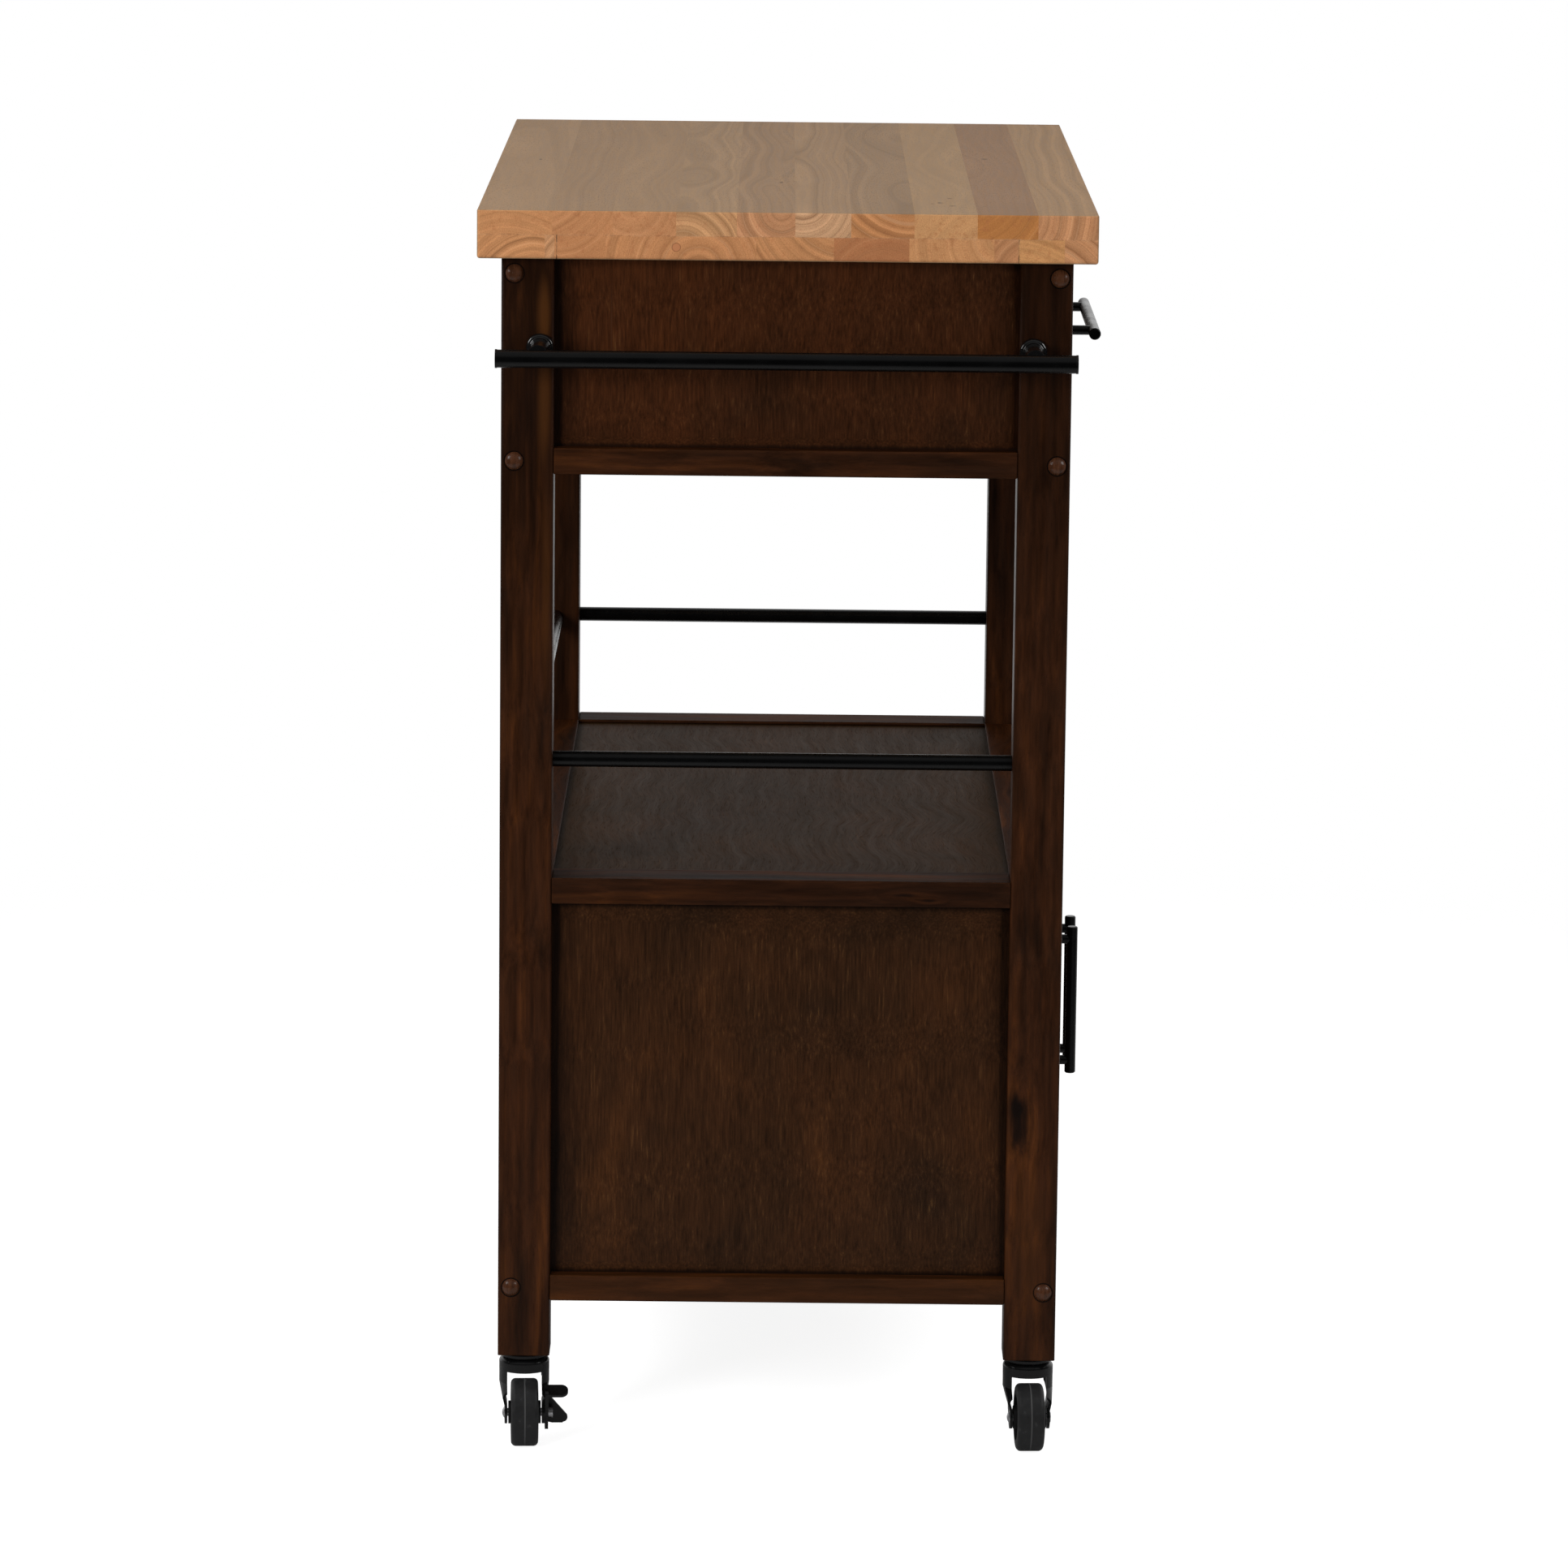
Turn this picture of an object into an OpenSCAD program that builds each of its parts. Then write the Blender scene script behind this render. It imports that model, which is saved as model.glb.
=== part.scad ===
// Kitchen cart: a two-layer butcher-block top on a stained frame, with one drawer,
// an open bay with a tube gallery, a two-door cabinet, a towel bar and four casters.
// Z is up, X runs along the worktop, the front faces -Y and left is -X.
// The origin is on the floor, under the middle of the worktop.

/* [Worktop] */
// Length of the worktop, along X
top_l = 762; // [700:1:860]
// Depth of the worktop, along Y
top_w = 444; // [430:1:520]
// Height of the worktop's surface above the floor
top_z = 914; // [890:1:960]
// Thickness of each of the worktop's two layers
layer_t = 17.5; // [15:0.5:22]
// Width of the build-up strips under the worktop's edges
strip_w = 57; // [50:1:80]
// Overhang of the worktop past the posts
overhang = 17; // [8:1:24]
// Radius of the worktop's corners
corner_r = 2.5; // [2:0.5:8]
// Radius of the worktop's upper edges
top_edge_r = 1; // [0.5:0.5:2]
// Radius of the worktop's lower edges
under_edge_r = 2.5; // [1:0.5:4]

/* [Frame] */
// Side of the square posts
post_w = 38; // [36:1:46]
// Radius of the eased edges of the posts
post_r = 2; // [0.5:0.5:4]
// Thickness of the rail stock
rail_t = 19; // [18:0.5:22]
// Height of the rails right under the worktop
top_rail_h = 24; // [22:1:32]
// Height of the underside of the lowest rails above the floor
bottom_rail_z = 110; // [95:1:140]
// Height of the top of the shelf rails above the floor
shelf_z = 426; // [390:1:460]
// Height of the space for the drawer, from the rails below it to the worktop
drawer_space = 138; // [124:1:164]
// Length of the tenons on the end rails and shelf rails
tenon_l = 8; // [5:0.5:8]
// Width of the tenons
tenon_w = 20; // [12:1:20]
// Height of the tenons
tenon_h = 7; // [5:0.5:7]
// Depth of the grooves that hold the panels and boards
groove_d = 5; // [3:0.5:5]

/* [Panels and boards] */
// Thickness of the end panels
end_panel_t = 12; // [6:1:14]
// Thickness of the back panels
back_panel_t = 6; // [4:0.5:8]
// Thickness of the shelf and of the cabinet floor
board_t = 12; // [8:1:12]
// Drop from the top of the rails to the shelf and to the floor
board_drop = 2.5; // [1:0.5:3]

/* [Drawer] */
// Thickness of the drawer front
front_t = 18; // [15:1:20]
// Distance of the drawer front and doors behind the faces of the posts
front_recess = 1.5; // [0:0.5:5]
// Gap round the drawer front and round each door
front_gap = 2; // [1.5:0.5:3]
// Thickness of the drawer's sides and back
side_t = 12; // [10:1:15]
// Height of the drawer's sides
side_h = 80; // [70:1:86]
// Length of the drawer's sides
side_l = 320; // [300:5:330]
// Height of the drawer's sides above the rails below them
side_lift = 12; // [8:1:15]
// Thickness of the drawer's bottom
drawer_bottom_t = 5; // [3:0.5:6]
// Height of the drawer's bottom above the lower edge of the sides
drawer_bottom_lift = 8; // [5:1:12]

/* [Drawer slides] */
// Width of a slide, from post to drawer side
slide_w = 12.7; // [12:0.1:14]
// Height of the outer member of a slide
slide_h = 35; // [32:1:40]
// Height of the inner member of a slide
inner_h = 23; // [20:0.5:24]
// Length of a slide
slide_l = 300; // [280:5:300]
// Sheet thickness of a slide
slide_sheet = 1.2; // [1:0.1:1.5]
// Travel of the drawer
drawer_travel = 220; // [150:5:240]
// Length of a slide's ball cage
cage_l = 116; // [80:1:120]
// Number of balls in each row of a cage
cage_balls = 5; // [3:1:7]

/* [Doors] */
// Thickness of the doors
door_t = 18; // [16:1:20]
// Width of the doors' stiles and rails
stile_w = 45; // [38:1:60]
// Thickness of the doors' panels
door_panel_t = 6; // [4:0.5:8]
// Radius of the rounded edges beside a door's pivots
hinge_r = 4; // [3.5:0.5:6]
// Distance from a door's edge to its pivots
pivot_in = 12; // [10:0.5:14]
// Diameter of the pivot pins
pivot_d = 6; // [4:0.5:6]
// Depth of the pivot pins in the rails
pivot_deep = 5; // [3:0.5:5]

/* [Pull and handles] */
// Diameter of the drawer pull's bar
pull_d = 9; // [8:0.5:12]
// Length of the drawer pull
pull_l = 212; // [180:1:260]
// Distance between the legs of the drawer pull
pull_cc = 160; // [128:32:160]
// Distance from the drawer front to the pull's bar
pull_out = 29; // [24:0.5:36]
// Diameter of the door handles' bars
handle_d = 8.5; // [8:0.5:12]
// Length of the door handles
handle_l = 116; // [110:1:160]
// Distance between the legs of a door handle
handle_cc = 96; // [64:32:96]
// Distance from a door to its handle's bar
handle_out = 23.5; // [20:0.5:32]
// Distance from the cart's middle to each handle
handle_x = 21; // [16:1:32]
// Diameter of the legs of the pull and handles
leg_d = 7.3; // [6:0.1:8]

/* [Gallery and towel bar] */
// Diameter of the gallery tubes
gallery_d = 11.5; // [9:0.5:14]
// Height of the gallery tubes above the top of the shelf rails
gallery_rise = 85; // [54:1:134]
// Depth of the gallery tubes in the posts
gallery_deep = 10; // [6:1:11]
// Wall of the gallery tubes and of the towel bar
tube_wall = 1; // [0.8:0.1:1.5]
// Diameter of the towel bar
towel_d = 13; // [10:0.5:14]
// Length of the towel bar
towel_l = 415; // [400:1:440]
// Distance from the worktop's surface down to the towel bar
towel_drop = 103; // [94:1:124]
// Distance from the posts to the towel bar
towel_out = 48; // [40:1:60]
// Distance between the towel bar's brackets
bracket_cc = 354; // [340:1:366]
// Rise of the brackets above the towel bar
bracket_rise = 3; // [0:0.5:3]
// Diameter of a bracket's flange
bracket_flange_d = 20; // [18:0.5:24]
// Diameter of a bracket's neck
bracket_neck_d = 14; // [12:0.5:16]

/* [Bolts and caps] */
// Diameter of the connector bolts
bolt_d = 6; // [5:0.5:6]
// Diameter of a bolt's head
bolt_head_d = 11; // [10:0.5:11]
// Reach of the bolts into the rails
bolt_reach = 42; // [38:1:50]
// Diameter and length of the barrel nuts
nut_d = 9; // [8:0.5:9]
// Diameter of the domed caps over the bolts
cap_d = 13; // [12.5:0.5:16]
// Height of the domes of the caps
cap_h = 4.5; // [3:0.5:6]

/* [Casters] */
// Height from the floor to the underside of the posts
caster_h = 68; // [66:1:76]
// Diameter of the wheels
wheel_d = 50; // [46:1:50]
// Width of the wheels' treads
wheel_w = 20; // [18:1:21]
// Distance from a wheel's axle to its swivel axis
trail = 18; // [14:1:20]
// Turn of the casters as they stand
caster_turn = 3; // [-30:1:30]
// Diameter of the wheel axles
axle_d = 6; // [5:0.5:6]
// Diameter of the stems in the posts
stem_d = 8; // [6:0.5:10]
// Length of the stems in the posts
stem_l = 35; // [25:1:50]
// Outer diameter of the forks' crowns
crown_d = 37; // [36:0.5:38]
// Outer width of a fork at its axle
fork_w = 29.4; // [29:0.2:31]
// Sheet thickness of the forks
fork_t = 2; // [1.5:0.1:2.2]

/* [Hidden] */
$fn = 64;

// Clearance on each side of a wooden joint
fit = 0.1;
// Space left between a board's edge and the bottom of its groove
groove_end = 0.2;
// Radial clearance of a pin that turns or is pushed into a hole
pin_fit = 0.05;
// Overlap of cutting shapes past the faces they cut
over = 1;

// Outer half length and half depth of the frame of posts
hx = top_l / 2 - overhang;
hy = top_w / 2 - overhang;
// Half distances between the inner faces of the posts
ix = hx - post_w;
iy = hy - post_w;
// Middle lines of the posts
pcx = hx - post_w / 2;
pcy = hy - post_w / 2;

// Heights of the frame
post_top = top_z - 2 * layer_t;
top_rail_z = post_top - top_rail_h;
shelf_under = shelf_z - rail_t;
bottom_top = bottom_rail_z + rail_t;
drawer_rail_z = post_top - drawer_space;
gallery_z = shelf_z + gallery_rise;
towel_z = top_z - towel_drop;
rail_tops = [bottom_top, shelf_z, drawer_rail_z];

// Bolts run along the middle of the front and back rails
bolt_y = hy - rail_t / 2;
bolt_zs = [bottom_top - rail_t / 2, drawer_rail_z - rail_t / 2, post_top - top_rail_h / 2];
bolt_hole_r = bolt_d / 2 + 0.3;
head_h = 5;
cap_stem_l = 8;
sink_d = bolt_head_d + 1;
sink_deep = cap_stem_l + head_h + 1;
nut_in = bolt_reach - 10;

// Boards and panels
panel_x = pcx - end_panel_t / 2;
back_y = bolt_y - back_panel_t / 2;
shelf_top = shelf_z - board_drop;
floor_top = bottom_top - board_drop;
tongue = groove_d - groove_end;
bottom_rail_in = hy - rail_t;

// Drawer
face_y = -hy + front_recess;
drawer_back_of_front = face_y + front_t;
box_hx = ix - slide_w;
box_z = drawer_rail_z + side_lift;
box_end = drawer_back_of_front + side_l;
drawer_bottom_z = box_z + drawer_bottom_lift;
pull_z = (drawer_rail_z + top_rail_z) / 2;
bottom_tongue = 4.8;

// Slides: outer member on the post, inner member on the drawer, ball cage between
slide_z = box_z + side_h * 0.4;
slide_front = drawer_back_of_front + 2;
slide_lip = 1.5;
slide_hole_front = 12;
slide_hole_back = 30;
race_gap = (slide_h - 2 * slide_sheet - inner_h) / 2;
ball_z = inner_h / 2 + race_gap / 2;
ball_r = race_gap / 2 - 0.1;
cage_sheet = 0.8;
cage_start = slide_front + drawer_travel / 2 + 1;
cleat_h = slide_h + 5;

// Doors
door_z0 = bottom_top + front_gap;
door_z1 = shelf_under - front_gap;
door_out = ix - front_gap;
door_in = front_gap / 2;
handle_z = (door_z0 + door_z1) / 2;
stile_r = 1;
door_back = face_y + door_t;
pivot_x = door_out - pivot_in;
pivot_y = face_y + door_t / 2;
pin_in_door = 14;
collar_d = 11;
collar_gap = 0.1;
strike_t = 1;
strike_w = 22;
strike_h = 9;
catch_x = 35;
catch_w = 34;
catch_h = 11;
catch_l = 15;
catch_gap = 0.3;
screw_d = 4;

// Casters
wheel_r = wheel_d / 2;
race_h = 4.6;
race_d = 33.5;
swivel_gap = 0.4;
crown_top = caster_h - race_h - swivel_gap;
rivet_h = 2.5;
rivet_d = 14;
crown_rim = wheel_d + 4;
shoulder = 3;
bow_z = wheel_r + 20;
ledge = 0.05;
leg_z = wheel_r + 6;
boss_r = 8.5;
hub_gap = 0.8;
hub_w = fork_w - 2 * fork_t - 2 * hub_gap;
lever_t = 2.5;
lever_gap = 0.2;
lever_hub_r = 6;
lever_in = 9;
axle_head_h = 1.8;
axle_head_d = 9;
collar_side_h = 2.2;
rivet_end_h = 1;
rivet_end_d = 8;

wood_top = "burlywood";
wood_stained = "#4a2917";
wood_hidden = "#8a6a48";
metal_black = "#1b1b1d";
metal_bright = "silver";
wheel_grey = "#3b3c3e";

// Block between two opposite corners
module block(lo, hi) {
    translate(lo) cube(hi - lo);
}

// Copies a shape at both ends of the cart
module both_ends() {
    children();
    mirror([1, 0, 0]) children();
}

// Copies a shape at the front and at the back
module front_and_back() {
    children();
    mirror([0, 1, 0]) children();
}

// Mirrors a shape across the plane with this normal only when asked
module mirrored(normal, on) {
    if (on) mirror(normal) children();
    else children();
}

// Rectangle round the origin with rounded corners
module rounded_rect(l, w, r) {
    square([l - 2 * r, w], center = true);
    square([l, w - 2 * r], center = true);
    for (x = [-1, 1], y = [-1, 1])
        translate([x * (l / 2 - r), y * (w / 2 - r)]) circle(r);
}

// Rod along X, along Y or along Z from a point
module rod_x(at, l, r) {
    translate(at) rotate([0, 90, 0]) cylinder(h = l, r = r);
}

module rod_y(at, l, r) {
    translate(at) rotate([-90, 0, 0]) cylinder(h = l, r = r);
}

module rod_z(at, l, r) {
    translate(at) cylinder(h = l, r = r);
}

// Section of the worktop across its length or depth w, with eased edges
module worktop_section(w) {
    h = 2 * layer_t;
    translate([-w / 2, under_edge_r]) square([w, h - under_edge_r - top_edge_r]);
    translate([under_edge_r - w / 2, 0]) square([w - 2 * under_edge_r, layer_t]);
    translate([top_edge_r - w / 2, layer_t]) square([w - 2 * top_edge_r, layer_t]);
    for (side = [-1, 1]) {
        translate([side * (w / 2 - under_edge_r), under_edge_r]) circle(under_edge_r);
        translate([side * (w / 2 - top_edge_r), h - top_edge_r]) circle(top_edge_r);
    }
}

// Both layers of the worktop in one, from which its pieces are cut
module worktop_blank() {
    intersection() {
        translate([0, 0, post_top])
            linear_extrude(height = 2 * layer_t) rounded_rect(top_l, top_w, corner_r);
        translate([-top_l / 2 - over, 0, post_top]) rotate([90, 0, 90])
            linear_extrude(height = top_l + 2 * over) worktop_section(top_w);
        translate([0, top_w / 2 + over, post_top]) rotate([90, 0, 0])
            linear_extrude(height = top_w + 2 * over) worktop_section(top_l);
    }
}

// Worktop
module worktop_board() {
    color(wood_top) intersection() {
        worktop_blank();
        block([-top_l, -top_w, top_z - layer_t], [top_l, top_w, top_z + over]);
    }
}

module worktop_long_strips() {
    color(wood_top) front_and_back() intersection() {
        worktop_blank();
        block([-top_l, -top_w, post_top - over],
              [top_l, -top_w / 2 + strip_w, top_z - layer_t]);
    }
}

module worktop_end_strips() {
    half = top_w / 2 - strip_w;
    color(wood_top) both_ends() intersection() {
        worktop_blank();
        block([-top_l, -half, post_top - over],
              [-top_l / 2 + strip_w, half, top_z - layer_t]);
    }
}

// Cut for a stub tenon, seen from the post: the rail's middle lies at the origin
module mortise(along_x) {
    w = tenon_w + 2 * fit;
    h = tenon_h + 2 * fit;
    d = tenon_l + 3 * fit;
    if (along_x) translate([-d, -w / 2, -h / 2]) cube([d + over, w, h]);
    else translate([-w / 2, -d, -h / 2]) cube([w, d + over, h]);
}

// Groove in a post for an end panel, between two heights
module end_panel_groove(z0, z1) {
    block([-panel_x - end_panel_t - fit, -iy - groove_d, z0],
          [-panel_x + fit, -iy + over, z1]);
}

// Groove in a back post for a back panel, drawn at the front left
module back_panel_groove(z0, z1) {
    block([-ix - groove_d, -back_y - back_panel_t - fit, z0],
          [-ix + over, -back_y + fit, z1]);
}

// Post drawn at the front left corner and mirrored to its own corner
module post(sx, sy) {
    stem_r = stem_d / 2 + pin_fit;
    tube_r = gallery_d / 2 + fit;
    mirrored([1, 0, 0], sx > 0) mirrored([0, 1, 0], sy > 0) color(wood_stained)
    difference() {
        translate([-pcx, -pcy, caster_h])
            linear_extrude(height = post_top - caster_h) rounded_rect(post_w, post_w, post_r);
        for (z = rail_tops)
            translate([-pcx, -iy, z - rail_t / 2]) mortise(false);
        translate([-ix, -pcy, shelf_z - rail_t / 2]) mortise(true);
        end_panel_groove(drawer_rail_z - groove_d, post_top + over);
        end_panel_groove(bottom_top - groove_d, shelf_under + groove_d);
        if (sy > 0) {
            back_panel_groove(drawer_rail_z - groove_d, top_rail_z + groove_d);
            back_panel_groove(bottom_top - groove_d, shelf_under + groove_d);
            rod_x([-ix - gallery_deep - fit, -pcy, gallery_z], gallery_deep + over, tube_r);
        }
        translate([0, 0, gallery_z])
            rod_y([-pcx, -iy - gallery_deep - fit, 0], gallery_deep + over, tube_r);
        for (z = bolt_zs) {
            rod_x([-hx - over, -bolt_y, z], post_w + 2 * over, bolt_hole_r);
            rod_x([-hx - over, -bolt_y, z], sink_deep + over, sink_d / 2);
        }
        rod_z([-pcx, -pcy, caster_h - over], stem_l + 2 * over, stem_r);
    }
}

// End rail with stub tenons, with its top at z, drawn at the left end
module end_rail(z, panel_above, panel_below, board_z) {
    difference() {
        union() {
            block([-hx, -iy, z - rail_t], [-ix, iy, z]);
            block([-pcx - tenon_w / 2, -iy - tenon_l, z - (rail_t + tenon_h) / 2],
                  [-pcx + tenon_w / 2, iy + tenon_l, z - (rail_t - tenon_h) / 2]);
        }
        if (panel_above)
            block([-panel_x - end_panel_t - fit, -iy - over, z - groove_d],
                  [-panel_x + fit, iy + over, z + over]);
        if (panel_below)
            block([-panel_x - end_panel_t - fit, -iy - over, z - rail_t - over],
                  [-panel_x + fit, iy + over, z - rail_t + groove_d]);
        if (board_z > 0)
            block([-ix - groove_d, -iy - over, board_z - board_t - fit],
                  [-ix + over, iy + over, board_z + fit]);
    }
}

module end_rails() {
    color(wood_stained) {
        end_rail(drawer_rail_z, true, false, 0);
        end_rail(shelf_z, false, true, shelf_top);
        end_rail(bottom_top, true, false, floor_top);
    }
}

// Upper and lower end panels at the left end, set in the grooves
module end_panels() {
    y = iy + tongue;
    color(wood_stained) {
        block([-panel_x - end_panel_t, -y, drawer_rail_z - tongue], [-panel_x, y, post_top]);
        block([-panel_x - end_panel_t, -y, bottom_top - tongue],
              [-panel_x, y, shelf_under + tongue]);
    }
}

// Long rail that is bolted between two posts, drawn at the front
module bolted_rail(z0, z1) {
    z = (z0 + z1) / 2;
    difference() {
        block([-ix, -hy, z0], [ix, -bottom_rail_in, z1]);
        both_ends() {
            rod_x([-ix - over, -bolt_y, z], bolt_reach + 2 * over, bolt_hole_r);
            rod_z([-ix + nut_in, -bolt_y, z0 - over], z - z0 + nut_d / 2 + fit + over,
                  nut_d / 2 + fit);
        }
    }
}

// Cut along a rail for a back panel's edge, drawn at the front
module back_edge_groove(z0, z1) {
    block([-ix - over, -back_y - back_panel_t - fit, z0], [ix + over, -back_y + fit, z1]);
}

// Cut along the inner edge of a long rail for a board whose top is at z
module board_groove(inner_y, z) {
    block([-ix - over, -inner_y - groove_d, z - board_t - fit],
          [ix + over, -inner_y + over, z + fit]);
}

// Holes in a rail for the door pivots, between two heights
module pivot_holes(z0, z1) {
    both_ends() rod_z([-pivot_x, pivot_y, z0], z1 - z0, pivot_d / 2 + pin_fit);
}

// Long rail beside the shelf, with stub tenons, drawn at the front
module shelf_rail() {
    difference() {
        union() {
            block([-ix, -hy, shelf_under], [ix, -iy, shelf_z]);
            block([-ix - tenon_l, -pcy - tenon_w / 2, shelf_z - (rail_t + tenon_h) / 2],
                  [ix + tenon_l, -pcy + tenon_w / 2, shelf_z - (rail_t - tenon_h) / 2]);
        }
        board_groove(iy, shelf_top);
    }
}

module bottom_rail() {
    difference() {
        bolted_rail(bottom_rail_z, bottom_top);
        board_groove(bottom_rail_in, floor_top);
    }
}

module front_top_rail() {
    color(wood_stained) bolted_rail(top_rail_z, post_top);
}

module front_drawer_rail() {
    color(wood_stained) bolted_rail(drawer_rail_z - rail_t, drawer_rail_z);
}

module front_shelf_rail() {
    color(wood_stained) difference() {
        shelf_rail();
        pivot_holes(shelf_under - over, shelf_under + pivot_deep + fit);
    }
}

module front_bottom_rail() {
    color(wood_stained) difference() {
        bottom_rail();
        pivot_holes(bottom_top - pivot_deep - fit, bottom_top + over);
    }
}

module back_rails() {
    color(wood_stained) mirror([0, 1, 0]) {
        difference() {
            bolted_rail(top_rail_z, post_top);
            back_edge_groove(top_rail_z - over, top_rail_z + groove_d);
        }
        difference() {
            bolted_rail(drawer_rail_z - rail_t, drawer_rail_z);
            back_edge_groove(drawer_rail_z - groove_d, drawer_rail_z + over);
        }
        difference() {
            shelf_rail();
            back_edge_groove(shelf_under - over, shelf_under + groove_d);
        }
        difference() {
            bottom_rail();
            back_edge_groove(bottom_top - groove_d, bottom_top + over);
        }
    }
}

module back_panels() {
    x = ix + tongue;
    color(wood_stained) {
        block([-x, back_y, drawer_rail_z - tongue], [x, back_y + back_panel_t, top_rail_z + tongue]);
        block([-x, back_y, bottom_top - tongue], [x, back_y + back_panel_t, shelf_under + tongue]);
    }
}

// Board in grooves on all four sides, notched round the posts
module grooved_board(z, half_y) {
    block([-ix - tongue, -iy + fit, z - board_t], [ix + tongue, iy - fit, z]);
    block([-ix + fit, -half_y - tongue, z - board_t], [ix - fit, half_y + tongue, z]);
}

module shelf_board() {
    color(wood_stained) grooved_board(shelf_top, iy);
}

module cabinet_floor() {
    color(wood_stained) grooved_board(floor_top, bottom_rail_in);
}

// Drawer slides
module drawer_cleats() {
    color(wood_hidden) both_ends()
        block([-panel_x, -iy, slide_z - cleat_h / 2], [-ix, iy, slide_z + cleat_h / 2]);
}

// Channel of sheet with its back at x = 0, open towards +X
module channel(w, h, lip) {
    t = slide_sheet;
    translate([0, -h / 2]) square([t, h]);
    for (side = [0, 1]) mirror([0, side]) {
        translate([0, h / 2 - t]) square([w, t]);
        if (lip > 0) translate([w - t, h / 2 - t - lip]) square([t, lip + t]);
    }
}

// Turns a profile, drawn across the slide, into a length along Y
module along_y(y0, l) {
    translate([0, y0 + l, slide_z]) rotate([90, 0, 0]) linear_extrude(height = l) children();
}

module slide_outer_members() {
    depth = slide_w - 2 * slide_sheet;
    color(metal_bright) both_ends() difference() {
        along_y(slide_front, slide_l) translate([-ix, 0]) channel(depth, slide_h, slide_lip);
        for (y = [slide_front + slide_hole_front, slide_front + slide_l - slide_hole_back])
            rod_x([-ix - over, y, slide_z], slide_sheet + 2 * over, screw_d / 2);
    }
}

module slide_inner_members() {
    color(metal_bright) both_ends() along_y(slide_front, slide_l)
        translate([-box_hx, 0]) mirror([1, 0]) channel(slide_w - 4 * slide_sheet, inner_h, 0);
}

// Cage strip bent round the inner member, with windows for its balls above and below
module slide_ball_cages() {
    x0 = -ix + slide_sheet + 0.6;
    x1 = -ix + slide_w - 2.4 * slide_sheet;
    ball_x = -ix + slide_w / 2 + 0.2;
    pitch = cage_l / cage_balls;
    color(metal_bright) both_ends() {
        difference() {
            along_y(cage_start, cage_l) {
                translate([x0, -ball_z]) square([cage_sheet, 2 * ball_z]);
                for (side = [-1, 1])
                    translate([x0, side * ball_z - cage_sheet / 2]) square([x1 - x0, cage_sheet]);
            }
            for (i = [0 : cage_balls - 1], side = [-1, 1])
                rod_z([ball_x, cage_start + (i + 0.5) * pitch, slide_z + side * ball_z - over],
                      2 * over, ball_r + 0.1);
        }
        for (i = [0 : cage_balls - 1], side = [-1, 1])
            translate([ball_x, cage_start + (i + 0.5) * pitch, slide_z + side * ball_z])
                sphere(ball_r);
    }
}

// Drawer
module drawer_front() {
    x = ix - front_gap;
    z0 = drawer_rail_z + front_gap;
    z1 = top_rail_z - front_gap;
    groove_x = box_hx - side_t + bottom_tongue + groove_end;
    color(wood_stained) difference() {
        block([-x, face_y, z0], [x, drawer_back_of_front, z1]);
        block([-groove_x, drawer_back_of_front - bottom_tongue - groove_end, drawer_bottom_z - fit],
              [groove_x, drawer_back_of_front + over, drawer_bottom_z + drawer_bottom_t + fit]);
        for (side = [-1, 1])
            rod_y([side * pull_cc / 2, face_y - over, pull_z], front_t + 2 * over,
                  screw_d / 2 + pin_fit);
    }
}

module drawer_sides() {
    color(wood_hidden) both_ends() difference() {
        block([-box_hx, drawer_back_of_front, box_z], [-box_hx + side_t, box_end, box_z + side_h]);
        block([-box_hx + side_t - bottom_tongue - groove_end, drawer_back_of_front - over,
               drawer_bottom_z - fit],
              [-box_hx + side_t + over, box_end + over, drawer_bottom_z + drawer_bottom_t + fit]);
    }
}

module drawer_back() {
    x = box_hx - side_t;
    color(wood_hidden)
        block([-x, box_end - side_t, drawer_bottom_z + drawer_bottom_t],
              [x, box_end, box_z + side_h]);
}

module drawer_bottom() {
    x = box_hx - side_t + bottom_tongue;
    color(wood_hidden)
        block([-x, drawer_back_of_front - bottom_tongue, drawer_bottom_z],
              [x, box_end, drawer_bottom_z + drawer_bottom_t]);
}

// Bar with two legs that stands off a face: bar along X, face at y = 0, bar towards -Y
module bar_pull(d, l, cc, out) {
    chamfer = 0.8;
    difference() {
        union() {
            rotate([0, 90, 0]) rotate_extrude() polygon([
                [0, -l / 2], [d / 2 - chamfer, -l / 2], [d / 2, -l / 2 + chamfer],
                [d / 2, l / 2 - chamfer], [d / 2 - chamfer, l / 2], [0, l / 2]
            ]);
            for (side = [-1, 1]) rod_y([side * cc / 2, 0, 0], out, leg_d / 2);
        }
        for (side = [-1, 1])
            rod_y([side * cc / 2, out - 14, 0], 14 + over, screw_d / 2 + pin_fit);
    }
}

// Screws that hold a pull from behind a board of this thickness
module pull_screws(cc, board, out) {
    for (side = [-1, 1]) {
        rod_y([side * cc / 2, out - 10, 0], board + 10, screw_d / 2);
        rod_y([side * cc / 2, out + board, 0], 2, screw_d);
    }
}

module drawer_pull() {
    color(metal_black) translate([0, face_y - pull_out, pull_z]) {
        bar_pull(pull_d, pull_l, pull_cc, pull_out);
        pull_screws(pull_cc, front_t, pull_out);
    }
}

// Left door: stiles with rounded hinge edge, rails tongued into them, drawn at -X
module stile(x0, x1, hinge) {
    w = x1 - x0;
    r = hinge ? hinge_r : stile_r;
    translate([0, 0, door_z0]) linear_extrude(height = door_z1 - door_z0) {
        translate([x0 + w / 2, face_y + door_t / 2]) rounded_rect(w, door_t, r);
        if (hinge) translate([x0 + w / 2, face_y]) square([w / 2, door_t]);
    }
}

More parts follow.
